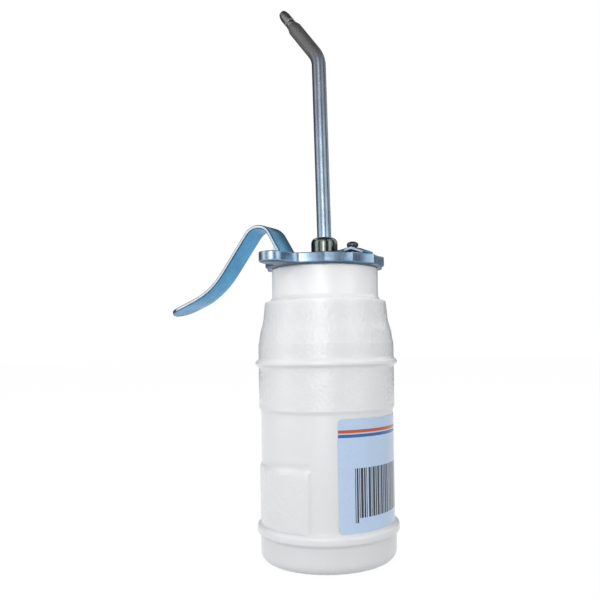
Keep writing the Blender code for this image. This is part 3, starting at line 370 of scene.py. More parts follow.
def moulded_rubber():
    """Nitrile rubber, moulded: near black with a dull, slightly dusty skin."""
    values = {"Base Color": rgba("1E1F21"), "Roughness": 0.62, "IOR": 1.52}
    made, tree, shader, place = new_material("nitrile_rubber", values)
    mottle(tree, shader, place, 0.6 * MM, 4.0, [(0.35, linear("191A1C")), (0.7, linear("2B2C2E"))])
    return made


def extruded_polyethylene():
    """Natural polyethylene tube, extruded: milky, smooth along its length."""
    values = {
        "Base Color": rgba("E4E5E2"),
        "Roughness": 0.32,
        "IOR": 1.54,
        "Subsurface Weight": 0.4,
        "Subsurface Radius": (1.0, 1.0, 0.95),
        "Subsurface Scale": 2 * MM,
    }
    made, tree, shader, place = new_material("extruded_polyethylene", values)
    stretch = {"Scale": (1.0, 1.0, 0.08)}
    mapped = add_node(tree, "ShaderNodeMapping", stretch, {"Vector": place}).outputs["Vector"]
    looks = {"Scale": 1 / (0.9 * MM), "Detail": 3.0}
    lines = add_node(tree, "ShaderNodeTexNoise", looks, {"Vector": mapped}).outputs["Fac"]
    roughen(tree, shader, lines, 0.2, 0.08 * MM)
    return made


# Shapes


SMOOTH_ANGLE = math.radians(35)
SLIGHT_TURN = math.radians(12)
CORNER_SHARE = 0.45


def mesh_piece(name, bm, materials, smooth_angle=SMOOTH_ANGLE):
    """Turn a bmesh into a linked object with smooth faces and sharp creases."""
    bmesh.ops.recalc_face_normals(bm, faces=bm.faces)
    mesh = bpy.data.meshes.new(name)
    bm.to_mesh(mesh)
    bm.free()
    mesh.shade_smooth()
    mesh.set_sharp_from_angle(angle=smooth_angle)
    for surface in materials:
        mesh.materials.append(surface)
    obj = bpy.data.objects.new(name, mesh)
    bpy.context.scene.collection.objects.link(obj)
    return obj


def seat(piece, body, *nodes):
    """Let a piece ride on its body and stand for its CAD nodes."""
    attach(piece, body)
    if nodes:
        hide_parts(*nodes)
    return piece


def skin(bm, rings, loop=False, caps=False):
    """Join rings of points, each with one point or with the same count, into faces."""
    rows = [[bm.verts.new(point) for point in ring] for ring in rings]
    pairs = list(zip(rows, rows[1:]))
    if loop:
        pairs.append((rows[-1], rows[0]))
    for low, high in pairs:
        count = max(len(low), len(high))
        for i in range(count):
            j = (i + 1) % count
            corners = []
            for vert in (low[i % len(low)], low[j % len(low)], high[j % len(high)], high[i % len(high)]):
                if vert not in corners:
                    corners.append(vert)
            bm.faces.new(corners)
    if caps:
        bm.faces.new(rows[0])
        bm.faces.new(rows[-1])
    return rows


def skinned(name, rings, materials, loop=False, caps=True, smooth_angle=SMOOTH_ANGLE):
    """A piece whose faces join rings of points."""
    bm = bmesh.new()
    skin(bm, rings, loop=loop, caps=caps)
    return mesh_piece(name, bm, materials, smooth_angle)


def softened(points, radius, closed, steps=3):
    """Round the corners of a 2-D outline. Points on the axis stay as they are."""
    vectors = [Vector(point) for point in points]
    made = []
    count = len(vectors)
    for i, corner in enumerate(vectors):
        ends = not closed and i in (0, count - 1)
        before = vectors[i - 1]
        after = vectors[(i + 1) % count]
        if ends or corner.x == 0:
            made.append(corner)
            continue
        back = before - corner
        ahead = after - corner
        turn = math.pi - back.angle(ahead)
        if turn < SLIGHT_TURN:
            made.append(corner)
            continue
        longest = CORNER_SHARE * min(back.length, ahead.length)
        reach = min(radius * math.tan(turn / 2), longest)
        start = corner + back.normalized() * reach
        end = corner + ahead.normalized() * reach
        for k in range(steps + 1):
            share = k / steps
            made.append(start.lerp(corner, share).lerp(corner.lerp(end, share), share))
    return made


def lathe(name, profile, materials, x=0.0, sides=64, edge=0.2 * MM, closed=False):
    """Turn a (radius, height) outline about an upright axis at x, with softened edges."""
    turns = [math.tau * i / sides for i in range(sides)]
    rings = []
    for point in softened(profile, edge, closed):
        if point.x == 0:
            rings.append([(x, 0.0, point.y)])
        else:
            rings.append([(x + point.x * math.cos(a), point.x * math.sin(a), point.y) for a in turns])
    return skinned(name, rings, materials, loop=closed, caps=False)


def ring_outline(outer, inner, low, high):
    return [(outer, low), (outer, high), (inner, high), (inner, low)]


def rod_outline(radius, low, high):
    return [(0, low), (radius, low), (radius, high), (0, high)]


def turned_ring(name, body, node, inner, surface, x=0.0, sides=56, edge=0.1 * MM):
    """A plain ring with a given bore radius, in place of a round CAD node."""
    size = RoundNode(node)
    outline = ring_outline(size.radius, inner, size.low, size.high)
    return seat(lathe(name, outline, [surface], x=x, sides=sides, edge=edge, closed=True), body, node)


def lay_down(piece, place, axis="X"):
    """Turn an upright piece a quarter about an axis, and move its foot to a place."""
    piece.data.transform(Matrix.Translation(place) @ Matrix.Rotation(-QUARTER, 4, axis))
    return piece


def arc(centre, radius, start, end, steps):
    """Points on a circle's arc, both ends included."""
    turns = [start + (end - start) * i / steps for i in range(steps + 1)]
    return [(centre[0] + radius * math.cos(a), centre[1] + radius * math.sin(a)) for a in turns]


def smooth_step(value, start, end):
    share = min(1.0, max(0.0, (value - start) / (end - start)))
    return share * share * (3 - 2 * share)


def thread_ridge(name, materials, root, crest, low, high, pitch, width=1.3 * MM, steps=72):
    """One helical ridge from root to crest radius, fading out at both ends."""
    turns = (high - low - width) / pitch
    total = int(turns * steps)
    rings = []
    for i in range(total + 1):
        angle = math.tau * i / steps
        fade = smooth_step(min(i, total - i), -1, steps / 3)
        reach = root + (crest - root) * max(0.05, fade)
        middle = low + width / 2 + pitch * i / steps
        section = (
            (root, middle - width / 2),
            (reach, middle - width / 5),
            (reach, middle + width / 5),
            (root, middle + width / 2),
        )
        rings.append([(r * math.cos(angle), r * math.sin(angle), z) for r, z in section])
    return skinned(name, rings, materials, smooth_angle=math.radians(50))


def add_tool(target, tool, operation):
    """Apply a Boolean with a tool object, and delete the tool."""
    modifier = target.modifiers.new("cut", "BOOLEAN")
    modifier.operation = operation
    modifier.solver = "EXACT"
    modifier.object = tool
    bpy.context.view_layer.update()
    shaped = bpy.data.meshes.new_from_object(target.evaluated_get(bpy.context.evaluated_depsgraph_get()))
    target.modifiers.clear()
    target.data = shaped
    bpy.data.objects.remove(tool, do_unlink=True)


def finish_cuts(piece, smooth_angle=SMOOTH_ANGLE):
    """Smooth a piece again after Boolean steps."""
    piece.data.shade_smooth()
    piece.data.set_sharp_from_angle(angle=smooth_angle)
    return piece


# Bottle


BEAD_ROUND = 0.9 * MM
LOWER_BEAD_Z = 11.2 * MM
PANEL_Z = 15.8 * MM
STEP_Z = 62.0 * MM
BODY_Z = 63.5 * MM
UPPER_BEAD_Z = 80.5 * MM
SHOULDER_Z = 83.7 * MM
TAPER_Z = 89.8 * MM
LEDGE_Z = 107.5 * MM
NECK_Z = 107.7 * MM
GRIP_TOP_Z = PANEL_Z + 25 * MM
GRIP_EDGE = math.radians(75.4)
GRIP_BLEND = math.radians(1.4)
HEEL_ROUND = 3.8 * MM
FLOOR_ROUND = 2.6 * MM
FLOOR_Z = 1.8 * MM
TAPER_DROP = 3.05 * MM
# Each point's share of the taper's height, and of its drop in radius
TAPER_SHARES = ((0.10, 0.15), (0.29, 0.30), (0.48, 0.63), (0.60, 0.76), (1.0, 1.0))


class OILER_OT_bottle(bpy.types.Operator):
    """Blow-moulded bottle with beads, grip patch, pebbled zones and neck thread"""

    bl_idname = "oiler.bottle"
    bl_label = "Bottle"

    def outer_wall(self, s):
        """Outer (radius, height) outline from the base's centre to the lip."""
        bead = BOTTLE.radius
        upper_bead = bead - 0.15 * MM
        points = [(0.0, 0.0), (s.heel * 0.5, 0.0)]
        points += arc((s.heel - HEEL_ROUND, HEEL_ROUND), HEEL_ROUND, -QUARTER, 0.0, 8)
        points += [(s.heel, LOWER_BEAD_Z), (bead, LOWER_BEAD_Z + BEAD_ROUND)]
        points += [(bead, PANEL_Z - BEAD_ROUND), (s.panel, PANEL_Z), (s.panel, STEP_Z)]
        points += [(s.body, BODY_Z), (s.body, UPPER_BEAD_Z)]
        points += [(upper_bead, UPPER_BEAD_Z + BEAD_ROUND), (upper_bead, SHOULDER_Z - BEAD_ROUND)]
        points += [(s.body, SHOULDER_Z), (s.body - 0.05 * MM, TAPER_Z)]
        taper = LEDGE_Z - TAPER_Z
        for height_share, drop_share in TAPER_SHARES:
            points.append((s.body - TAPER_DROP * drop_share, TAPER_Z + taper * height_share))
        points += [(s.body - TAPER_DROP - 1.45 * MM, NECK_Z), (s.neck + 0.9 * MM, NECK_Z + 0.3 * MM)]
        points += [(s.neck, NECK_Z + 1.8 * MM), (s.neck, BOTTLE.high - 0.5 * MM)]
        points += [(s.neck - 0.5 * MM, BOTTLE.high)]
        return softened(points, 1.1 * MM, closed=False, steps=4)

    def inner_wall(self, s):
        """Inner outline from the lip to the floor's centre."""
        body = s.body - s.wall
        panel = s.panel - s.wall
        heel = s.heel - s.wall
        points = [(s.bore, BOTTLE.high), (s.bore, NECK_Z + 1.2 * MM)]
        points += [(body - 4.5 * MM, LEDGE_Z - s.wall), (body - 2.3 * MM, LEDGE_Z - 8 * MM)]
        points += [(body, TAPER_Z - s.wall), (body, BODY_Z)]
        points += [(panel, STEP_Z), (panel, PANEL_Z), (heel, LOWER_BEAD_Z)]
        points += arc((heel - FLOOR_ROUND, FLOOR_Z + FLOOR_ROUND), FLOOR_ROUND, 0.0, -QUARTER, 6)
        points += [(heel * 0.5, FLOOR_Z), (0.0, FLOOR_Z)]
        return softened(points, 0.8 * MM, closed=False, steps=3)

    def from_label(self, angle):
        """Turn from the middle of the label, either way."""
        return abs((angle + math.pi) % math.tau - math.pi)

    def grip_offset(self, s, height, angle):
        """How far the grip patch, with its groove on top, stands out at a height and angle."""
        across = smooth_step(self.from_label(angle), GRIP_EDGE - GRIP_BLEND, GRIP_EDGE + GRIP_BLEND)
        patch = smooth_step(height, PANEL_Z - 0.4 * MM, PANEL_Z + 0.6 * MM)
        patch *= 1 - smooth_step(height, GRIP_TOP_Z - 0.9 * MM, GRIP_TOP_Z)
        groove = math.exp(-(((height - GRIP_TOP_Z - 0.9 * MM) / (0.7 * MM)) ** 2))
        rib = math.exp(-(((height - GRIP_TOP_Z - 2.8 * MM) / (0.8 * MM)) ** 2))
        return across * (s.grip * patch - 0.3 * MM * groove + 0.15 * MM * rib)

    def pebble_at(self, height, angle):
        """1 where the mould is pebbled, 0 where it is smooth."""
        upper = smooth_step(height, BODY_Z - 0.2 * MM, BODY_Z + 0.6 * MM)
        upper *= 1 - smooth_step(height, LEDGE_Z - 1.5 * MM, LEDGE_Z)
        bead = smooth_step(height, UPPER_BEAD_Z - MM, UPPER_BEAD_Z)
        bead *= 1 - smooth_step(height, SHOULDER_Z, SHOULDER_Z + MM)
        grip = smooth_step(height, PANEL_Z, PANEL_Z + MM)
        grip *= 1 - smooth_step(height, GRIP_TOP_Z - MM, GRIP_TOP_Z)
        grip *= smooth_step(self.from_label(angle), GRIP_EDGE, GRIP_EDGE + math.radians(2))
        return max(upper * (1 - bead), grip)

    def subdivided(self, wall, step):
        """An outline with points no further apart than about a step."""
        made = []
        for start, end in zip(wall, wall[1:]):
            count = max(1, round((end - start).length / step))
            made += [start.lerp(end, i / count) for i in range(count)]
        return made + [wall[-1]]

    def execute(self, context):
        s = context.scene.oiler_bottle
        bm = bmesh.new()
        pebble = bm.verts.layers.float.new("pebble")
        rings = []
        masks = []
        outer = self.subdivided(self.outer_wall(s), 1.2 * MM)
        for is_outer, wall in ((True, outer), (False, self.inner_wall(s))):
            for point in wall:
                if point.x == 0:
                    rings.append([(0.0, 0.0, point.y)])
                    masks.append([0.0])
                    continue
                stands = is_outer and point.x > s.panel - MM
                ring = []
                mask = []
                for i in range(s.sides):
                    angle = math.tau * i / s.sides
                    radius = point.x + (self.grip_offset(s, point.y, angle) if stands else 0.0)
                    ring.append((radius * math.cos(angle), radius * math.sin(angle), point.y))
                    mask.append(self.pebble_at(point.y, angle) if is_outer else 0.0)
                rings.append(ring)
                masks.append(mask)
        for row, mask in zip(skin(bm, rings), masks):
            for vert, value in zip(row, mask):
                vert[pebble] = value
        plastic = blown_polyethylene(s)
        shell = mesh_piece("bottle_shell", bm, [plastic], smooth_angle=math.radians(60))
        seat(shell, "bottle", "bottle")
        low = NECK_Z + 2.4 * MM
        high = BOTTLE.high - 1.2 * MM
        root = s.bore + 0.1 * MM
        crest = s.bore - 0.45 * MM
        ridge = thread_ridge("neck_thread", [plastic], root, crest, low, high, s.thread_pitch)
        seat(ridge, "bottle")
        return {"FINISHED"}


# Label


STRIPE_DROP = 4.2 * MM
STRIPE_GAP_SHARE = 0.4
BARS_LOW = 5.6 * MM
BARS_HIGH = 25.0 * MM
BARS_SIDE = 6.6 * MM
GUARD_DROP = 1.8 * MM
GRID_STEPS = 40
BAR_WIDTHS = (1, 1, 2, 1, 1, 1, 3, 1, 2, 1, 1, 2, 3, 1, 1, 1, 3, 1, 2, 1, 3, 1, 1, 1, 3, 1, 2, 1, 3, 1)
BAR_WIDTHS += (3, 1, 1, 1, 2, 1, 3, 1, 2, 1, 3, 1, 3, 2, 1, 1, 2, 1, 3, 1, 1, 1, 2, 1, 3, 1, 2, 1, 2)


class OILER_OT_label(bpy.types.Operator):
    """Coated paper label with two plain stripes and generic bars"""

    bl_idname = "oiler.label"
    bl_label = "Label"

    def execute(self, context):
        s = context.scene.oiler_label
        radius = context.scene.oiler_bottle.panel + s.lift + s.thickness
        half = math.atan2(LABEL_HIGH.y, LABEL_LOW.x) * radius
        low = LABEL_LOW.z
        high = LABEL_HIGH.z
        bar_low = low + BARS_LOW
        bar_high = low + BARS_HIGH
        guard_low = bar_low - GUARD_DROP
        # Printed fields: low, high, left, right and the slot of their ink
        fields = []
        top = high - STRIPE_DROP
        for slot in (1, 2):
            fields.append((top - s.stripe, top, -half, half, slot))
            top -= (1 + STRIPE_GAP_SHARE) * s.stripe
        edge = -half + BARS_SIDE
        for i, width in enumerate(BAR_WIDTHS):
            end = edge + width * s.module
            if i % 2 == 0:
                is_guard = i < 3 or i > len(BAR_WIDTHS) - 4
                fields.append((guard_low if is_guard else bar_low, bar_high, edge, end, 3))
            edge = end
        columns = [-half + s.corner * (1 - math.cos(QUARTER * i / 6)) for i in range(7)]
        columns += [-x for x in reversed(columns)]
        inner = half - s.corner
        columns += [-inner + 2 * inner * i / GRID_STEPS for i in range(1, GRID_STEPS)]
        columns += [side for field in fields for side in field[2:4]]
        columns = self.distinct(columns)
        rows = [low, low + s.corner, high - s.corner, high]
        rows = self.distinct(rows + [level for field in fields for level in field[:2]])
        bm = bmesh.new()
        front = self.grid(bm, s, columns, rows, radius, half)
        back = self.grid(bm, s, columns, rows, radius - s.thickness, half)
        self.print_faces(bm, front, columns, rows, fields)
        self.close_edges(bm, front, back)
        papers = [
            printed_paper("coated_label_paper", s.paper, 0.5),
            printed_paper("warm_stripe_ink", s.warm, 0.5),
            printed_paper("cool_stripe_ink", s.cool, 0.5),
            printed_paper("bar_ink", s.ink, 0.4),
        ]
        seat(mesh_piece("printed_label", bm, papers), "bottle", "label")
        return {"FINISHED"}

    def distinct(self, values):
        """Sorted values without near repeats."""
        made = []
        for value in sorted(values):
            if not made or value - made[-1] > 0.05 * MM:
                made.append(value)
        return made

    def grid(self, bm, s, columns, rows, radius, half):
        """Rows of vertices on the bottle's panel, drawn in at the rounded corners."""
        made = []
        for along in columns:
            inward = max(0.0, s.corner - (half - abs(along)))
            cut = s.corner - math.sqrt(max(0.0, s.corner**2 - inward**2))
            angle = along / radius
            line = []
            for height in rows:
                level = min(max(height, rows[0] + cut), rows[-1] - cut)
                line.append(bm.verts.new((radius * math.cos(angle), radius * math.sin(angle), level)))
            made.append(line)
        return made

    def print_faces(self, bm, front, columns, rows, fields):
        """Make the front's faces and give each its ink."""
        for i in range(len(columns) - 1):
            for j in range(len(rows) - 1):
                corners = [front[i][j], front[i + 1][j], front[i + 1][j + 1], front[i][j + 1]]
                if len({tuple(vert.co) for vert in corners}) < 4:
                    continue
                face = bm.faces.new(corners)
                middle = (columns[i] + columns[i + 1]) / 2
                height = (rows[j] + rows[j + 1]) / 2
                for foot, top, left, right, slot in fields:
                    if foot < height < top and left < middle < right:
                        face.material_index = slot

    def close_edges(self, bm, front, back):
        """Join the front to the back round all four sides, and close the back."""
        loops = []
        for grid in (front, back):
            loop = [line[0] for line in grid] + grid[-1][1:]
            loop += [line[-1] for line in reversed(grid[:-1])] + grid[0][1:-1][::-1]
            loops.append(loop)
        for i in range(len(loops[0])):
            j = (i + 1) % len(loops[0])
            corners = [loops[0][i], loops[0][j], loops[1][j], loops[1][i]]
            if (corners[0].co - corners[1].co).length > 0.001 * MM:
                bm.faces.new(corners)
        for i in range(len(back) - 1):
            for j in range(len(back[0]) - 1):
                corners = [back[i][j], back[i][j + 1], back[i + 1][j + 1], back[i + 1][j]]
                if len({tuple(vert.co) for vert in corners}) == 4:
                    bm.faces.new(corners)


# Head


BOSS_RADIUS = 6.0 * MM
BOSS_DROP = 8.5 * MM
PUMP_BOSS_RADIUS = 5.4 * MM
WEB_HALF = 2.6 * MM
WEB_DROP = 7.5 * MM
LUG_TURN = math.radians(99)
STUB_RISE = 4.2 * MM
GROOVE_BORE = 19.35 * MM
WAY_RADIUS = 1.6 * MM
BREATHER_PLACE = (-8.31 * MM, 10.64 * MM, 0.0)
BREATHER_RADIUS = 0.7 * MM
EAR_RADIUS = 2.4 * MM
EAR_INNER = 6.6 * MM


class OILER_OT_head(bpy.types.Operator):
    """Die-cast head: fluted rim with two lugs, threaded plug, bosses, ears and stub"""

    bl_idname = "oiler.head"
    bl_label = "Pump head"

    def rounded_levels(self, low, high, foot, edge):
        """Heights and insets of a plate's rings: a chamfered foot and a rounded top edge."""
        flat = 0.12 * MM
        levels = [(low, foot), (low + foot * 0.35, foot * 0.35), (low + foot, 0.0)]
        levels += [(low + foot + flat, 0.0), (high - edge - flat, 0.0)]
        for i in range(4):
            turn = QUARTER * i / 3
            levels.append((high - edge + edge * math.sin(turn), edge * (1 - math.cos(turn))))
        return levels

    def rim(self, s, low, high, metal):
        """Fluted disc with a turned-in foot."""
        steps = 12
        outline = []
        for i in range(s.flutes * steps):
            across = (i % steps) / steps
            angle = math.radians(-60) + math.tau * i / (s.flutes * steps)
            crest = 1 - (2 * across - 1) ** 2
            outline.append((s.rim - s.flute_depth * crest, math.cos(angle), math.sin(angle)))
        rings = []
        for level, inset in self.rounded_levels(low, high, 0.7 * MM, 0.45 * MM):
            rings.append([((r - inset) * x, (r - inset) * y, level) for r, x, y in outline])
        return skinned("head_casting", rings, [metal])

    def lug(self, s, low, high, metal, turn):
        """One lug with a rounded tip, filleted into the hollows of the rim on both sides."""
        edge = s.rim - s.flute_depth
        half = s.lug_half
        fillet = s.lug_fillet
        tip = s.lug_reach - half
        across = half + fillet
        middle = math.sqrt((edge + fillet) ** 2 - across**2)
        leave = math.atan2(across, middle)
        root = (edge - 3 * MM) * math.cos(leave), (edge - 3 * MM) * math.sin(leave)
        side = [root] + arc((middle, across), fillet, leave + math.pi, 3 * QUARTER, 10)
        outline = [(x, -y) for x, y in side] + arc((tip, 0.0), half, -QUARTER, QUARTER, 20) + side[::-1]
        centre = (edge + tip) / 2
        bm = bmesh.new()
        rings = []
        for level, inset in self.rounded_levels(low, high, 0.75 * MM, 0.45 * MM):
            along = 1 - inset / (s.lug_reach - centre)
            across = 1 - inset / half
            rings.append([(centre + (x - centre) * along, y * across, level) for x, y in outline])
        skin(bm, rings, caps=True)
        bmesh.ops.rotate(bm, verts=bm.verts, matrix=Matrix.Rotation(turn, 3, "Z"))
        return mesh_piece("lug_tool", bm, [metal])

    def block(self, low, high):
        """A plain box between two corners."""
        outline = [(low[0], low[1]), (high[0], low[1]), (high[0], high[1]), (low[0], high[1])]
        return skinned("tool", [[(x, y, z) for x, y in outline] for z in (low[2], high[2])], [])

    def ear(self, side, top, metal):
        """One rounded ear for the lever's pin."""
        outer = PIN_HIGH.y
        foot = top - PIVOT.z - FUSE_DEPTH
        outline = [(-EAR_RADIUS - 0.5 * MM, foot), (EAR_RADIUS + 0.5 * MM, foot)]
        outline += arc((0.0, 0.0), EAR_RADIUS, math.radians(-20), math.radians(200), 20)
        rings = []
        for across, shrink in ((EAR_INNER, 1.0), (outer - 0.3 * MM, 1.0), (outer, 0.9)):
            section = [(x * shrink, z * shrink) for x, z in outline]
            rings.append([(PIVOT.x + x, side * across, PIVOT.z + z) for x, z in section])
        return skinned("tool", rings, [metal])

    def add_forms(self, casting, s, foot, top, metal):
        """Fuse the lugs, plug, bosses, web and ears to the rim."""
        fused = foot + FUSE_DEPTH
        boss_low = foot - BOSS_DROP
        plug = ring_outline(s.plug, s.plug - s.plug_wall, HEAD_LOW.z, fused)
        boss = [(0, boss_low), (BOSS_RADIUS, boss_low), (BOSS_RADIUS, fused), (s.stub, fused)]
        boss += [(s.stub, top + STUB_RISE), (0, top + STUB_RISE)]
        pump_boss = rod_outline(PUMP_BOSS_RADIUS, HEAD_LOW.z, fused)
        lug_low = foot + 0.1 * MM
        lug_high = top - 0.05 * MM
        forms = [self.lug(s, lug_low, lug_high, metal, side * LUG_TURN) for side in (-1, 1)]
        forms.append(lathe("tool", plug, [metal], sides=128, edge=0.3 * MM, closed=True))
        forms.append(lathe("tool", boss, [metal], sides=48))
        forms.append(lathe("tool", pump_boss, [metal], x=ROD_X, sides=48))
        forms.append(self.block((0.0, -WEB_HALF, foot - WEB_DROP), (ROD_X, WEB_HALF, fused)))
        forms += [self.ear(side, top, metal) for side in (-1, 1)]
        for form in forms:
            add_tool(casting, form, "UNION")

    def cut_ways(self, casting, foot, top, metal):
        """Gasket groove, spout bore, rod way with the pump's socket, breather and pin bore."""
        groove = ring_outline(GASKET.radius + CLEARANCE, GROOVE_BORE, foot - MM, GASKET.high + CLEARANCE)
        socket = BARREL.radius + CLEARANCE
        packing = PACKING.radius + CLEARANCE
        seat_low = PACKING.low - CLEARANCE
        seat_top = PACKING.high + CLEARANCE
        way = [(0, HEAD_LOW.z - MM), (socket, HEAD_LOW.z - MM), (socket, seat_low), (packing, seat_low)]
        way += [(packing, seat_top), (WAY_RADIUS, seat_top), (WAY_RADIUS, top + MM), (0, top + MM)]
        bore = rod_outline(WAY_RADIUS, HEAD_LOW.z + 3.2 * MM, top + 6 * MM)
        breather = rod_outline(BREATHER_RADIUS, HEAD_LOW.z, top + MM)
        pin = rod_outline(PIN_BORE, -PIN_HIGH.y + 0.7 * MM, PIN_HIGH.y + MM)
        vent = lathe("tool", breather, [metal], sides=20)
        vent.data.transform(Matrix.Translation(BREATHER_PLACE))
        ways = [
            lathe("tool", groove, [metal], sides=128, edge=0.0, closed=True),
            lathe("tool", bore, [metal], sides=32),
            lathe("tool", way, [metal], x=ROD_X, sides=48, edge=0.0),
            vent,
            lay_down(lathe("tool", pin, [metal], sides=32), PIVOT),
        ]
        for form in ways:
            add_tool(casting, form, "DIFFERENCE")

    def execute(self, context):
        s = context.scene.oiler_head
        metal = chromated_casting(s)
        top = HEAD_LOW.z + PLUG_LENGTH + s.rim_height
        foot = top - s.rim_height
        casting = self.rim(s, foot, top, metal)
        self.add_forms(casting, s, foot, top, metal)
        self.cut_ways(casting, foot, top, metal)
        seat(finish_cuts(casting), "head", "pump_head")
        bottle = context.scene.oiler_bottle
        low = HEAD_LOW.z + 0.3 * MM
        high = foot - 0.2 * MM
        root = s.plug - 0.1 * MM
        crest = bottle.bore - 0.55 * MM
        ridge = thread_ridge("plug_thread", [metal], root, crest, low, high, bottle.thread_pitch)
        seat(ridge, "head")
        return {"FINISHED"}


# Lever


LEVER_DROP = 1.0 * MM
THUMB_REACH = 62.0 * MM
THUMB_ROUND = 6.5 * MM
PAD_WIDTH = 13.0 * MM
# Stretches from the pivot, in mm, over which the strip turns to a new width: leg, fork, ring and tent
WIDTH_CHANGES = ((-49.0, -36.7, 11.2), (-8.8, -1.07, 12.6), (5.85, 15.6, 18.4), (24.0, 33.4, 9.0))
ARCH_RISE = 20.6 * MM
LEG_RUN = 12.5 * MM
CHEEK_RADIUS = 2.15 * MM
CHEEK_OUTER = 6.2 * MM
CHEEK_WALL = 1.4 * MM
NUT_SLOT_LENGTH = 1.1 * MM
ROD_SLOT_LENGTH = 2.3 * MM
ROD_SLOT_RADIUS = 1.6 * MM
BEND_STEP = math.radians(5)
STRIP_STEP = 0.8 * MM
STRIP_SMOOTH = math.radians(40)


class OILER_OT_lever(bpy.types.Operator):
    """Bent plated strip with a thumb pad, cheeks, ring and slotted tent, on its pin"""

    bl_idname = "oiler.lever"
    bl_label = "Lever and pin"

    def line(self, level):
        """Middle line of the strip, thumb to tent, as (x, z) in the model."""
        corners = [
            (PIVOT.x - THUMB_REACH, level - 21.8 * MM),
            (PIVOT.x - 36.7 * MM, level - 12.95 * MM),
            (PIVOT.x - 8.8 * MM, level + ARCH_RISE),
            (PIVOT.x + 3.7 * MM, level),
            (ROD_X - 5.5 * MM, level),
            (ROD_X + 1.7 * MM, level + 1.75 * MM),
            (ROD_X + 6.9 * MM, level - 0.25 * MM),
        ]
        radii = [42.0 * MM, 8.0 * MM, 3.5 * MM, 6.0 * MM, 1.5 * MM]
        path = [Vector(corners[0])]
        for before, corner, after, radius in zip(corners, corners[1:], corners[2:], radii):
            corner = Vector(corner)
            back = (Vector(before) - corner).normalized()
            ahead = (Vector(after) - corner).normalized()
            opening = back.angle(ahead)
            reach = min(radius / math.tan(opening / 2), (Vector(after) - corner).length / 2)
            bend_radius = reach * math.tan(opening / 2)
            middle = corner + (back + ahead).normalized() * (bend_radius / math.sin(opening / 2))
            start = corner + back * reach - middle
            end = corner + ahead * reach - middle
            turn = math.pi - opening
            count = max(3, math.ceil(turn / BEND_STEP))
            for i in range(count + 1):
                share = i / count
                spoke = start * math.sin((1 - share) * turn) + end * math.sin(share * turn)
                path.append(middle + spoke / math.sin(turn))
        path.append(Vector(corners[-1]))
        fine = [path[0]]
        for start, end in zip(path, path[1:]):
            count = max(1, math.ceil((end - start).length / STRIP_STEP))
            fine += [start.lerp(end, i / count) for i in range(1, count + 1)]
        return fine

    def width(self, x):
        """Width of the strip at x: pad, leg, fork, ring, then tent."""
        width = PAD_WIDTH
        before = PAD_WIDTH
        for start, end, after in WIDTH_CHANGES:
            width += (after * MM - before) * smooth_step(x - PIVOT.x, start * MM, end * MM)
            before = after * MM
        from_tip = x - (PIVOT.x - THUMB_REACH)
        if from_tip < THUMB_ROUND:
            width *= math.sqrt(max(0.02, 1 - (1 - from_tip / THUMB_ROUND) ** 2))
        return width

    def strip(self, s, steel, level):
        """The strip as one skin whose four edges are rounded."""
        path = self.line(level)
        rings = []
        for i, point in enumerate(path):
            along = (path[min(len(path) - 1, i + 1)] - path[max(0, i - 1)]).normalized()
            up = Vector((-along.y, along.x))
            half = self.width(point.x) / 2
            corner = min(s.edge, half / 2)
            section = []
            for sign_x, sign_z, start in ((1, 1, 0), (-1, 1, 1), (-1, -1, 2), (1, -1, 3)):
                centre = (sign_x * (half - corner), sign_z * (s.thickness / 2 - corner))
                section += arc(centre, corner, QUARTER * start, QUARTER * (start + 1), 3)
            ring = []
            for across, lift in section:
                place = point + up * lift
                ring.append((place.x, across, place.y))
            rings.append(ring)
        return skinned("lever_strip", rings, steel, smooth_angle=STRIP_SMOOTH)

    def cheek(self, side, level, steel):
        """A cheek folded down from the strip round the pin."""
        slope = ARCH_RISE / LEG_RUN
        lift = level - PIVOT.z
        outline = [(5.85 * MM, lift), (4.1 * MM, lift + 0.4 * MM), (-0.4 * MM, lift + 4.1 * MM * slope)]
        outline += arc((0.0, 0.0), CHEEK_RADIUS, math.radians(140), math.radians(300), 14)
        rings = []
        for across in (CHEEK_OUTER - CHEEK_WALL, CHEEK_OUTER):
            rings.append([(PIVOT.x + x, side * across, PIVOT.z + z) for x, z in outline])
        return skinned("tool", rings, steel)

    def slot_tool(self, start, end, radius, level):
        """A cutter for an upright slot with round ends."""
        outline = arc((end, 0.0), radius, -QUARTER, QUARTER, 16)
        outline += arc((start, 0.0), radius, QUARTER, 3 * QUARTER, 16)
        levels = (level - 3 * MM, level + 5 * MM)
        return skinned("tool", [[(x, y, z) for x, y in outline] for z in levels], [])

    def execute(self, context):
        s = context.scene.oiler_lever
        level = PIVOT.z - LEVER_DROP
        steel = [
            drawn_metal("bright_zinc_plated_strip", s.colour, 0.30, 0.9, (0.12, 1.0, 1.0), 0.24),
            drawn_metal("painted_highlight_plated_edge", s.edge_highlight_colour, 0.30, 0.7, (0.3, 1.0, 1.0), 0.12),
            drawn_metal("painted_shade_plated_corner", s.corner_shade_colour, 0.36, 0.7, (0.3, 1.0, 1.0), 0.12),
        ]
        lever = self.strip(s, steel, level)
        for side in (-1, 1):
            add_tool(lever, self.cheek(side, level, steel), "UNION")
        bore = lathe("tool", rod_outline(PIN_BORE, -9 * MM, 9 * MM), [], sides=32, edge=0.0)
        add_tool(lever, lay_down(bore, PIVOT), "DIFFERENCE")
        nut_slot = self.slot_tool(0.0, NUT_SLOT_LENGTH, NUT.radius + 0.6 * MM, level)
        add_tool(lever, nut_slot, "DIFFERENCE")
        rod_slot = self.slot_tool(ROD_X, ROD_X + ROD_SLOT_LENGTH, ROD_SLOT_RADIUS, level)
        add_tool(lever, rod_slot, "DIFFERENCE")
        finish_cuts(lever, STRIP_SMOOTH)
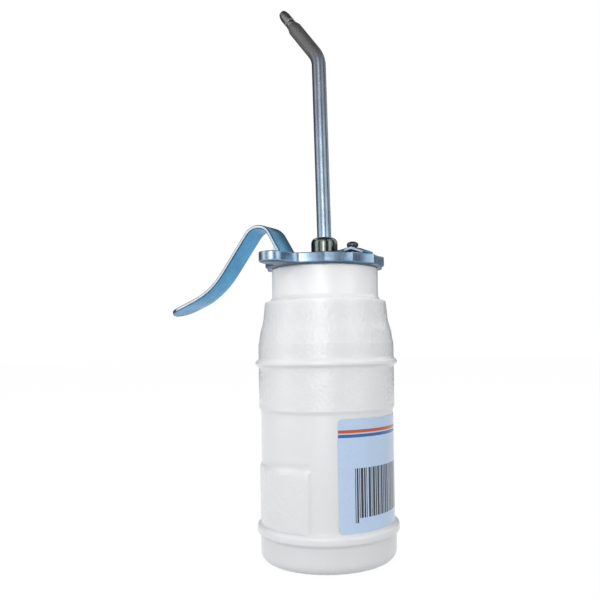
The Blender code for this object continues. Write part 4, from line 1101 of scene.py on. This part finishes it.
        # Painted highlight on the faces turned to the sides, painted shade on the rounded corners
        for face in lever.data.polygons:
            sideways = abs(face.normal.y)
            face.material_index = 1 if sideways > 0.985 else 2 if sideways > 0.2 else 0
        seat(lever, "lever", "lever")
        outline = rod_outline((PIN_HIGH.x - PIN_LOW.x) / 2, PIN_LOW.y, PIN_HIGH.y)
        bright = drawn_metal("drawn_steel_pin", linear("A9B4C0"), 0.24, 0.5, (1.0, 0.1, 1.0))
        pin = lathe("pivot_pin", outline, [bright], sides=40, edge=0.3 * MM)
        seat(lay_down(pin, (PIVOT.x, 0, PIVOT.z)), "head", "lever_pin")
        return {"FINISHED"}


# Pump


ROD_RADIUS = 1.3 * MM
BUTTON_HEIGHT = 2.1 * MM
VALVE_BORE = 0.9 * MM


class OILER_OT_plunger(bpy.types.Operator):
    """Plunger rod with its button, and the piston with its ring"""

    bl_idname = "oiler.plunger"
    bl_label = "Plunger"

    def execute(self, context):
        steel = drawn_metal("turned_rod_steel", linear("565C68"), 0.28, 0.6, (1.0, 1.0, 0.1))
        brass = drawn_metal("turned_brass", linear("B79B55"), 0.26, 0.5, (1.0, 1.0, 4.0))
        button = ROD.high - BUTTON_HEIGHT
        outline = [(0, ROD.low), (ROD_RADIUS, ROD.low), (ROD_RADIUS, button), (ROD.radius, button)]
        for i in range(7):
            turn = QUARTER * i / 6
            outline.append((ROD.radius * math.cos(turn), button + 0.9 * MM + 1.2 * MM * math.sin(turn)))
        outline[-1] = (0, ROD.high)
        rod = lathe("rod_with_button", outline, [steel], x=ROD_X, sides=56, edge=0.3 * MM)
        seat(rod, "plunger", "plunger_rod")
        low = PISTON.low
        high = PISTON.high
        skirt = PISTON.radius
        outline = [(0, low + 4.6 * MM), (1.55 * MM, low + 4.6 * MM), (1.55 * MM, low + MM)]
        outline += [(VALVE_BORE, low + MM), (VALVE_BORE, low), (skirt, low), (skirt, low + 0.9 * MM)]
        outline += [(2.3 * MM, low + 0.9 * MM), (2.3 * MM, low + 2.1 * MM), (skirt, low + 2.1 * MM)]
        outline += [(skirt, low + 3 * MM), (2.2 * MM, low + 3 * MM), (2.2 * MM, high)]
        outline += [(1.45 * MM, high), (1.45 * MM, high - 1.9 * MM), (0, high - 1.9 * MM)]
        piston = lathe("turned_piston", outline, [brass], x=ROD_X, sides=56, edge=0.12 * MM)
        seat(piston, "plunger", "piston")
        rubber = moulded_rubber()
        turned_ring("piston_ring", "plunger", "piston_seal", 2.45 * MM, rubber, x=ROD_X, edge=0.3 * MM)
        return {"FINISHED"}


BARREL_BORE = 3.1 * MM
PORT_DROP = 2.2 * MM
GUIDE_BORE = 1.45 * MM
GASKET_BORE = 19.65 * MM
WIRE = 0.35 * MM
SPRING_TURNS = 8
SPRING_STEPS = 40
FOOT_BORE = 1.1 * MM
DIP_BORE = 2.0 * MM
DIP_SLANT = 3.0 * MM
DIP_SIDES = 48


class OILER_OT_pump(bpy.types.Operator):
    """Barrel, packing, spring, foot valve, balls and dip tube"""

    bl_idname = "oiler.pump"
    bl_label = "Pump"

    def ball(self, node, body, steel):
        """A check ball in place of its node."""
        size = RoundNode(node)
        bm = bmesh.new()
        bmesh.ops.create_icosphere(bm, subdivisions=4, radius=size.radius)
        bmesh.ops.translate(bm, verts=bm.verts, vec=(ROD_X, 0, (size.low + size.high) / 2))
        seat(mesh_piece(node + "_polished", bm, [steel], smooth_angle=math.pi), body, node)

    def spring(self, steel):
        """Return spring as a swept round wire."""
        mean = SPRING.radius - WIRE
        low = SPRING.low + WIRE
        high = SPRING.high - WIRE
        up = Vector((0, 0, 1))
        turn = [math.tau * k / 10 for k in range(10)]
        rings = []
        for i in range(SPRING_TURNS * SPRING_STEPS + 1):
            angle = math.tau * i / SPRING_STEPS
            out = Vector((math.cos(angle), math.sin(angle), 0))
            height = low + (high - low) * i / (SPRING_TURNS * SPRING_STEPS)
            centre = Vector((ROD_X, 0, height)) + out * mean
            rings.append([centre + (out * math.cos(t) + up * math.sin(t)) * WIRE for t in turn])
        coil = seat(skinned("coiled_spring", rings, [steel]), "head", "return_spring")
        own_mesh(coil)

    def barrel(self, brass):
        """Drawn tube with a port to the head's cross channel."""
        tube = ring_outline(BARREL.radius, BARREL_BORE, BARREL.low, BARREL.high)
        barrel = lathe("drawn_barrel", tube, [brass], x=ROD_X, sides=72, edge=0.25 * MM, closed=True)
        port = lathe("tool", rod_outline(MM, 0, 6 * MM), [], sides=24, edge=0.0)
        add_tool(barrel, lay_down(port, (ROD_X, 0, BARREL.high - PORT_DROP), "Y"), "DIFFERENCE")
        seat(finish_cuts(barrel), "head", "pump_barrel")

    def foot_valve(self, brass):
        """Valve body with a hose nipple whose barbs hold the dip tube."""
        low = FOOT_BODY.low
        high = FOOT_BODY.high
        cage = high - 3.9 * MM
        collar = high - 4.8 * MM
        nipple = collar - 3.6 * MM
        outline = [(FOOT_BORE, low), (1.5 * MM, low)]
        for i in range(4):
            foot = low + 0.6 * MM + i * 1.5 * MM
            outline += [(1.8 * MM, foot + 0.9 * MM), (1.55 * MM, foot + MM)]
        outline += [(1.7 * MM, nipple), (FOOT_BODY.radius, nipple), (FOOT_BODY.radius, collar)]
        outline += [(2.8 * MM, collar), (2.8 * MM, high), (2.0 * MM, high), (2.0 * MM, cage)]
        outline += [(FOOT_BORE, cage)]
        edge = 0.15 * MM
        body = lathe("turned_valve_body", outline, [brass], x=ROD_X, sides=64, edge=edge, closed=True)
        seat(body, "head", "foot_valve_body")

    def dip_tube(self):
        """Suction tube with its foot cut on the slant."""
        outer = DIP.radius
        rows = []
        for radius, at_top in ((outer, False), (outer, True), (DIP_BORE, True), (DIP_BORE, False)):
            ring = []
            for i in range(DIP_SIDES):
                angle = math.tau * i / DIP_SIDES
                across = radius * math.cos(angle)
                foot = DIP.low + DIP_SLANT * (across + outer) / (2 * outer)
                ring.append((ROD_X + across, radius * math.sin(angle), DIP.high if at_top else foot))
            rows.append(ring)
        tube = skinned("suction_tube", rows, [extruded_polyethylene()], loop=True, caps=False)
        seat(tube, "head", "dip_tube")

    def cross_pin(self, steel):
        """The pin over the foot valve's ball."""
        low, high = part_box("foot_valve_pin")
        outline = rod_outline((high.x - low.x) / 2, low.y, high.y)
        pin = lathe("valve_cross_pin", outline, [steel], sides=20, edge=0.08 * MM)
        seat(lay_down(pin, (ROD_X, 0, (low.z + high.z) / 2)), "head", "foot_valve_pin")

    def execute(self, context):
        brass = drawn_metal("drawn_brass_tube", linear("BFA45E"), 0.24, 0.5, (1.0, 1.0, 0.1))
        turned_brass = drawn_metal("turned_valve_brass", linear("B79B55"), 0.28, 0.4, (1.0, 1.0, 4.0))
        wire = drawn_metal("spring_wire", linear("9AA0A6"), 0.25, 0.3, (1.0, 1.0, 1.0))
        polished = drawn_metal("bearing_steel", linear("C8CCD2"), 0.1, 0.6, (1.0, 1.0, 1.0), 0.03)
        rubber = moulded_rubber()
        self.barrel(brass)
        packing_look = {"x": ROD_X, "sides": 48, "edge": 0.3 * MM}
        gasket_look = {"sides": 128, "edge": 0.2 * MM}
        turned_ring("packing_ring", "head", "rod_packing", GUIDE_BORE, rubber, **packing_look)
        turned_ring("turned_washer", "head", "packing_washer", GUIDE_BORE, turned_brass, x=ROD_X)
        turned_ring("flat_gasket", "gasket", "neck_gasket", GASKET_BORE, rubber, **gasket_look)
        self.spring(wire)
        self.foot_valve(turned_brass)
        self.ball("foot_valve_ball", "foot_ball", polished)
        self.ball("piston_ball", "piston_ball", polished)
        self.dip_tube()
        self.cross_pin(wire)
        return {"FINISHED"}


# Spout


SPOUT_LEAN = math.radians(1.0)
SPOUT_TURN = math.radians(37.5)
KNEE_RISE = 80.1 * MM
END_LENGTH = 20.7 * MM
FOOT_LENGTH = 5 * MM
RISE_STEPS = 30
BEND_STEPS = 12
END_STEPS = 10
TUBE_SIDES = 56
ROLL_DEPTH = 0.55 * MM
ROLL_LENGTH = 0.9 * MM
BEND_FOOT_Z = TUBE_LOW.z + 76 * MM
NOZZLE_RADIUS = 2.25 * MM
NOZZLE_LENGTH = 8.8 * MM
NOZZLE_SEAT = 1.95 * MM
NOZZLE_DEPTH = 6 * MM
NOZZLE_BORE = 0.8 * MM
NUT_BORE = 4.3 * MM
NUT_DOME = 2.6 * MM
NUT_TOP_RADIUS = 3.5 * MM
SEAL_BORE = 1.6 * MM


class OILER_OT_spout(bpy.types.Operator):
    """Bent spout tube, stepped nozzle, union nut, collar and seal"""

    bl_idname = "oiler.spout"
    bl_label = "Spout"

    def line(self, s):
        """Middle line of the tube in the XZ plane, foot to end."""
        foot = TUBE_LOW.z
        sine = math.sin(SPOUT_LEAN)
        cosine = math.cos(SPOUT_LEAN)
        knee = Vector((-KNEE_RISE * sine, foot + KNEE_RISE * cosine))
        end = knee + Vector((-math.sin(SPOUT_TURN), math.cos(SPOUT_TURN))) * END_LENGTH
        bend = SPOUT_TURN - SPOUT_LEAN
        reach = s.bend * math.tan(bend / 2)
        up = Vector((-sine, cosine))
        out = Vector((-cosine, -sine))
        centre = knee - up * reach + out * s.bend
        path = [Vector((0.0, foot)), Vector((0.0, foot + FOOT_LENGTH))]
        for i in range(BEND_STEPS + 1):
            swing = bend * i / BEND_STEPS
            spoke = -out * math.cos(swing) + up * math.sin(swing)
            path.append(centre + spoke * s.bend)
        path.append(end)
        return path

    def tube(self, s, steel):
        """The tube, with its outer end rolled in to grip the nozzle."""
        path = self.line(s)
        start = path[1]
        fine = [path[0]] + [start.lerp(path[2], i / RISE_STEPS) for i in range(RISE_STEPS + 1)]
        fine += path[3:-1]
        last = path[-2]
        fine += [last.lerp(path[-1], (i + 1) / END_STEPS) for i in range(END_STEPS)]
        bore = s.radius - s.wall
        walls = {"outer": [], "inner": []}
        for i, point in enumerate(fine):
            along = (fine[min(len(fine) - 1, i + 1)] - fine[max(0, i - 1)]).normalized()
            across = Vector((along.y, 0.0, -along.x))
            centre = Vector((point.x, 0.0, point.y))
            left = (fine[-1] - point).length
            rolled = ROLL_DEPTH * (1 - min(1.0, left / ROLL_LENGTH)) ** 2
            for wall, radius in (("outer", s.radius - rolled), ("inner", bore)):
                ring = []
                for k in range(TUBE_SIDES):
                    angle = math.tau * k / TUBE_SIDES
                    side = Vector((0.0, radius * math.sin(angle), 0.0))
                    ring.append(centre + across * radius * math.cos(angle) + side)
                walls[wall].append(ring)
        rings = walls["outer"] + walls["inner"][::-1]
        tube = skinned("bent_spout_tube", rings, [steel], loop=True, caps=False)
        seat(tube, "spout", "spout_tube")
        return fine

    def nozzle(self, path, steel):
        """Stepped nozzle pressed in the tube's end."""
        end = path[-1]
        along = (path[-1] - path[-2]).normalized()
        radius = NOZZLE_RADIUS
        waist = radius - 0.25 * MM
        length = NOZZLE_LENGTH
        outline = [(NOZZLE_BORE, -NOZZLE_DEPTH), (NOZZLE_SEAT, -NOZZLE_DEPTH), (NOZZLE_SEAT, 0.3 * MM)]
        outline += [(radius, 0.3 * MM), (radius, 1.6 * MM), (waist, 1.9 * MM), (waist, 2.4 * MM)]
        outline += [(radius, 2.7 * MM), (radius, length - 2.6 * MM)]
        outline += [(radius * 0.9, length - 1.2 * MM), (radius * 0.72, length), (NOZZLE_BORE, length)]
        nozzle = lathe("stepped_nozzle", outline, [steel], sides=56, edge=0.4 * MM, closed=True)
        tilt = Matrix.Rotation(math.atan2(along.x, along.y), 4, "Y")
        nozzle.data.transform(Matrix.Translation((end.x, 0, end.y)) @ tilt)
        seat(nozzle, "spout", "nozzle_tip")

    def plated_tube(self, s):
        """Zinc-plated tube, darker from the nut up to the bend, and duller and rougher past it."""
        steel = drawn_metal("zinc_plated_tube", s.colour, 0.34, 1.2, (1.0, 1.0, 0.06), 0.18)
        tree = steel.node_tree
        shader = tree.nodes["Principled BSDF"]
        past = BEND_FOOT_Z + 8 * MM
        fade_by_height(tree, shader, s.bend_tone, (NUT.high, 0.0), (BEND_FOOT_Z, 0.85))
        fade_by_height(tree, shader, s.nozzle, (BEND_FOOT_Z, 0.0), (past, 0.9))
        polish = shader.inputs["Roughness"].links[0].from_socket
        worn = by_height(tree, (BEND_FOOT_Z, 0.0), (past, 0.25))
        rough = add_node(tree, "ShaderNodeMath", links={0: polish, 1: worn}, operation="ADD")
        tree.links.new(rough.outputs[0], shader.inputs["Roughness"])
        return steel

    def union_nut(self, s, brass):
        """Round nut with a domed top over the collar."""
        low = NUT.low
        high = NUT.high
        outline = [(NUT_BORE, low), (NUT.radius, low)]
        for i in range(9):
            turn = QUARTER * i / 8
            radius = NUT_TOP_RADIUS + (NUT.radius - NUT_TOP_RADIUS) * math.cos(turn)
            outline.append((radius, high - NUT_DOME + NUT_DOME * math.sin(turn)))
        throat = s.radius + CLEARANCE
        ceiling = COLLAR.high + CLEARANCE
        outline += [(throat, high), (throat, ceiling), (NUT_BORE, ceiling)]
        nut = lathe("union_nut", outline, [brass], sides=96, edge=0.3 * MM, closed=True)
        seat(nut, "nut", "spout_nut")

    def execute(self, context):
        s = context.scene.oiler_spout
        path = self.tube(s, self.plated_tube(s))
        self.nozzle(path, drawn_metal("turned_nozzle_steel", s.nozzle, 0.36, 0.6, (1.0, 1.0, 3.0), 0.2))
        brass = drawn_metal("oiled_brass_nut", s.nut, 0.16, 0.7, (1.0, 1.0, 3.0), 0.25)
        self.union_nut(s, brass)
        turned_ring("soldered_collar", "spout", "spout_collar", s.radius + 0.15 * MM, brass)
        turned_ring("face_seal", "head", "spout_seal", SEAL_BORE, moulded_rubber(), edge=0.15 * MM)
        return {"FINISHED"}


# Stage


FLOOR_SIZE = 6.0
FLOOR_WHITE = 1.06
FLOOR_SHARE = 0.90
WORLD_LIGHT = 0.80
CARD_FOOT = 0.02
BOTTLE_MIDDLE = (0.0, 0.0, 0.10)
# Name, place, aim, width and height, watts, and whether polished metal shows the lamp
LAMPS = (
    ("key_softbox", (0.29, -0.72, 0.22), BOTTLE_MIDDLE, (0.18, 0.6), 1.4, True),
    ("right_softbox", (0.77, -0.15, 0.22), BOTTLE_MIDDLE, (0.2, 0.6), 0.35, True),
    ("left_softbox", (-0.75, -0.65, 0.35), BOTTLE_MIDDLE, (0.5, 0.7), 1.4, True),
    ("top_softbox", (0.0, -0.1, 1.1), BOTTLE_MIDDLE, (0.9, 0.9), 3.4, False),
    ("neck_fill", (0.06, -0.42, 0.17), (0.0, 0.0, 0.115), (0.8, 0.12), 0.16, False),
)
# Name, bearing from the oiler in degrees, distance, width, top and colour of each upright card
CARDS = (
    ("front_right_card", -37, 0.8, 0.32, 0.85, "3A444F"),
    ("right_card", 30, 0.8, 0.4, 0.85, "525D69"),
    ("left_card", -106, 0.8, 0.2, 0.85, "3A444F"),
    ("back_right_card", 112, 0.9, 1.0, 0.85, "2C3541"),
    ("low_right_card", 64, 0.9, 0.5, 0.3, "3A444F"),
    ("back_left_card", 186, 0.9, 1.7, 0.85, "465262"),
)
OVERHEAD_CARD = [(-0.8, -0.8, 1.2), (0.8, -0.8, 1.2), (0.8, 0.8, 1.2), (-0.8, 0.8, 1.2)]


class OILER_OT_stage(bpy.types.Operator):
    """Pale floor, soft studio lamps, dark cards for the metal and the camera"""

    bl_idname = "oiler.stage"
    bl_label = "Stage"

    def seen(self, tree, path, others):
        """1 for a camera ray and for each other kind of ray."""
        made = path.outputs["Is Camera Ray"]
        for other in others:
            links = {0: made, 1: path.outputs[other]}
            made = add_node(tree, "ShaderNodeMath", links=links, operation="MAXIMUM").outputs[0]
        return made

    def floor(self, s):
        """A wide pale floor that stays near white to the eye and keeps a soft shadow."""
        made = bpy.data.materials.new("painted_studio_floor")
        made.use_nodes = True
        tree = made.node_tree
        tree.nodes.clear()
        paint = add_node(tree, "ShaderNodeBsdfDiffuse", {"Color": (*s.floor, 1.0)})
        white = add_node(tree, "ShaderNodeEmission", {"Strength": FLOOR_WHITE})
        seen = self.seen(tree, add_node(tree, "ShaderNodeLightPath"), ["Is Glossy Ray"])
        share = add_node(tree, "ShaderNodeMath", {1: FLOOR_SHARE}, {0: seen}, operation="MULTIPLY")
        links = {0: share.outputs[0], 1: paint.outputs[0], 2: white.outputs[0]}
        mixed = add_node(tree, "ShaderNodeMixShader", links=links)
        add_node(tree, "ShaderNodeOutputMaterial", links={"Surface": mixed.outputs[0]})
        bm = bmesh.new()
        bmesh.ops.create_grid(bm, x_segments=1, y_segments=1, size=FLOOR_SIZE)
        mesh_piece("studio_floor", bm, [made])

    def world(self, scene):
        """White to the eye and in reflections, plain soft grey as a light."""
        world = bpy.data.worlds.new("studio_world")
        world.use_nodes = True
        tree = world.node_tree
        tree.nodes.clear()
        soft = add_node(tree, "ShaderNodeBackground", {"Color": rgba("F6F6F6"), "Strength": WORLD_LIGHT})
        white = add_node(tree, "ShaderNodeBackground", {"Color": (1.0, 1.0, 1.0, 1.0), "Strength": 1.0})
        path = add_node(tree, "ShaderNodeLightPath")
        seen = self.seen(tree, path, ["Is Glossy Ray", "Is Transmission Ray"])
        links = {0: seen, 1: soft.outputs[0], 2: white.outputs[0]}
        mixed = add_node(tree, "ShaderNodeMixShader", links=links)
        add_node(tree, "ShaderNodeOutputWorld", links={"Surface": mixed.outputs[0]})
        scene.world = world

    def lamp(self, name, place, aim, size, power, glossy):
        data = bpy.data.lights.new(name, "AREA")
        data.shape = "RECTANGLE"
        data.size, data.size_y = size
        data.energy = power
        lamp = bpy.data.objects.new(name, data)
        lamp.location = place
        lamp.rotation_euler = (Vector(aim) - Vector(place)).to_track_quat("-Z", "Y").to_euler()
        lamp.visible_glossy = glossy
        bpy.context.scene.collection.objects.link(lamp)

    def upright(self, bearing, distance, width, top):
        """Corners of an upright card at a bearing from the oiler."""
        turn = Matrix.Rotation(math.radians(bearing), 3, "Z")
        sides = ((-1, CARD_FOOT), (1, CARD_FOOT), (1, top), (-1, top))
        return [turn @ Vector((distance, across * width / 2, height)) for across, height in sides]

    def card(self, name, corners, code):
        """A dark card that only shows in polished metal, to give it dark bands."""
        bm = bmesh.new()
        bm.faces.new([bm.verts.new(corner) for corner in corners])
        made = bpy.data.materials.new("black_card")
        made.use_nodes = True
        shader = made.node_tree.nodes["Principled BSDF"]
        shader.inputs["Base Color"].default_value = rgba(code)
        shader.inputs["Roughness"].default_value = 0.9
        card = mesh_piece(name, bm, [made])
        card.visible_camera = False
        card.visible_diffuse = False
        card.visible_shadow = False

    def camera(self, scene, s):
        data = bpy.data.cameras.new("photo_camera")
        data.lens = s.lens
        data.sensor_width = 36.0
        data.shift_x = s.shift_x
        data.shift_y = s.shift_y
        data.clip_start = 0.01
        camera = bpy.data.objects.new("photo_camera", data)
        camera.location = (s.distance * math.sin(s.azimuth), -s.distance * math.cos(s.azimuth), s.height)
        level = Matrix.Rotation(s.azimuth, 4, "Z") @ Matrix.Rotation(QUARTER, 4, "X")
        camera.rotation_euler = (level @ Matrix.Rotation(-s.roll, 4, "Z")).to_euler()
        scene.collection.objects.link(camera)
        scene.camera = camera

    def execute(self, context):
        scene = context.scene
        s = scene.oiler_stage
        self.floor(s)
        self.world(scene)
        for lamp in LAMPS:
            self.lamp(*lamp)
        for name, *place, code in CARDS:
            self.card(name, self.upright(*place), code)
        self.card("overhead_card", OVERHEAD_CARD, "6A737E")
        self.camera(scene, s)
        scene.view_settings.view_transform = "Standard"
        return {"FINISHED"}


class OILER_PT_panel(bpy.types.Panel):
    """Buttons for each group of pieces"""

    bl_idname = "OILER_PT_panel"
    bl_label = "Oiler"
    bl_space_type = "VIEW_3D"
    bl_region_type = "UI"
    bl_category = "Oiler"

    def draw(self, context):
        for kind in PIECES:
            self.layout.operator(kind.bl_idname)


SETTINGS = {
    "oiler_bottle": BottleSettings,
    "oiler_label": LabelSettings,
    "oiler_head": HeadSettings,
    "oiler_lever": LeverSettings,
    "oiler_spout": SpoutSettings,
    "oiler_stage": StageSettings,
}
PIECES = (
    OILER_OT_bottle,
    OILER_OT_label,
    OILER_OT_head,
    OILER_OT_lever,
    OILER_OT_plunger,
    OILER_OT_pump,
    OILER_OT_spout,
    OILER_OT_stage,
)


def register():
    for kind in (*SETTINGS.values(), *PIECES, OILER_PT_panel):
        bpy.utils.register_class(kind)
    for name, kind in SETTINGS.items():
        setattr(bpy.types.Scene, name, PointerProperty(type=kind))


def unregister():
    for name in SETTINGS:
        delattr(bpy.types.Scene, name)
    for kind in (OILER_PT_panel, *reversed(PIECES), *reversed(list(SETTINGS.values()))):
        bpy.utils.unregister_class(kind)


def main():
    register()
    bpy.ops.oiler.bottle()
    bpy.ops.oiler.label()
    bpy.ops.oiler.head()
    bpy.ops.oiler.lever()
    bpy.ops.oiler.plunger()
    bpy.ops.oiler.pump()
    bpy.ops.oiler.spout()
    bpy.ops.oiler.stage()


if __name__ == "__main__":
    main()
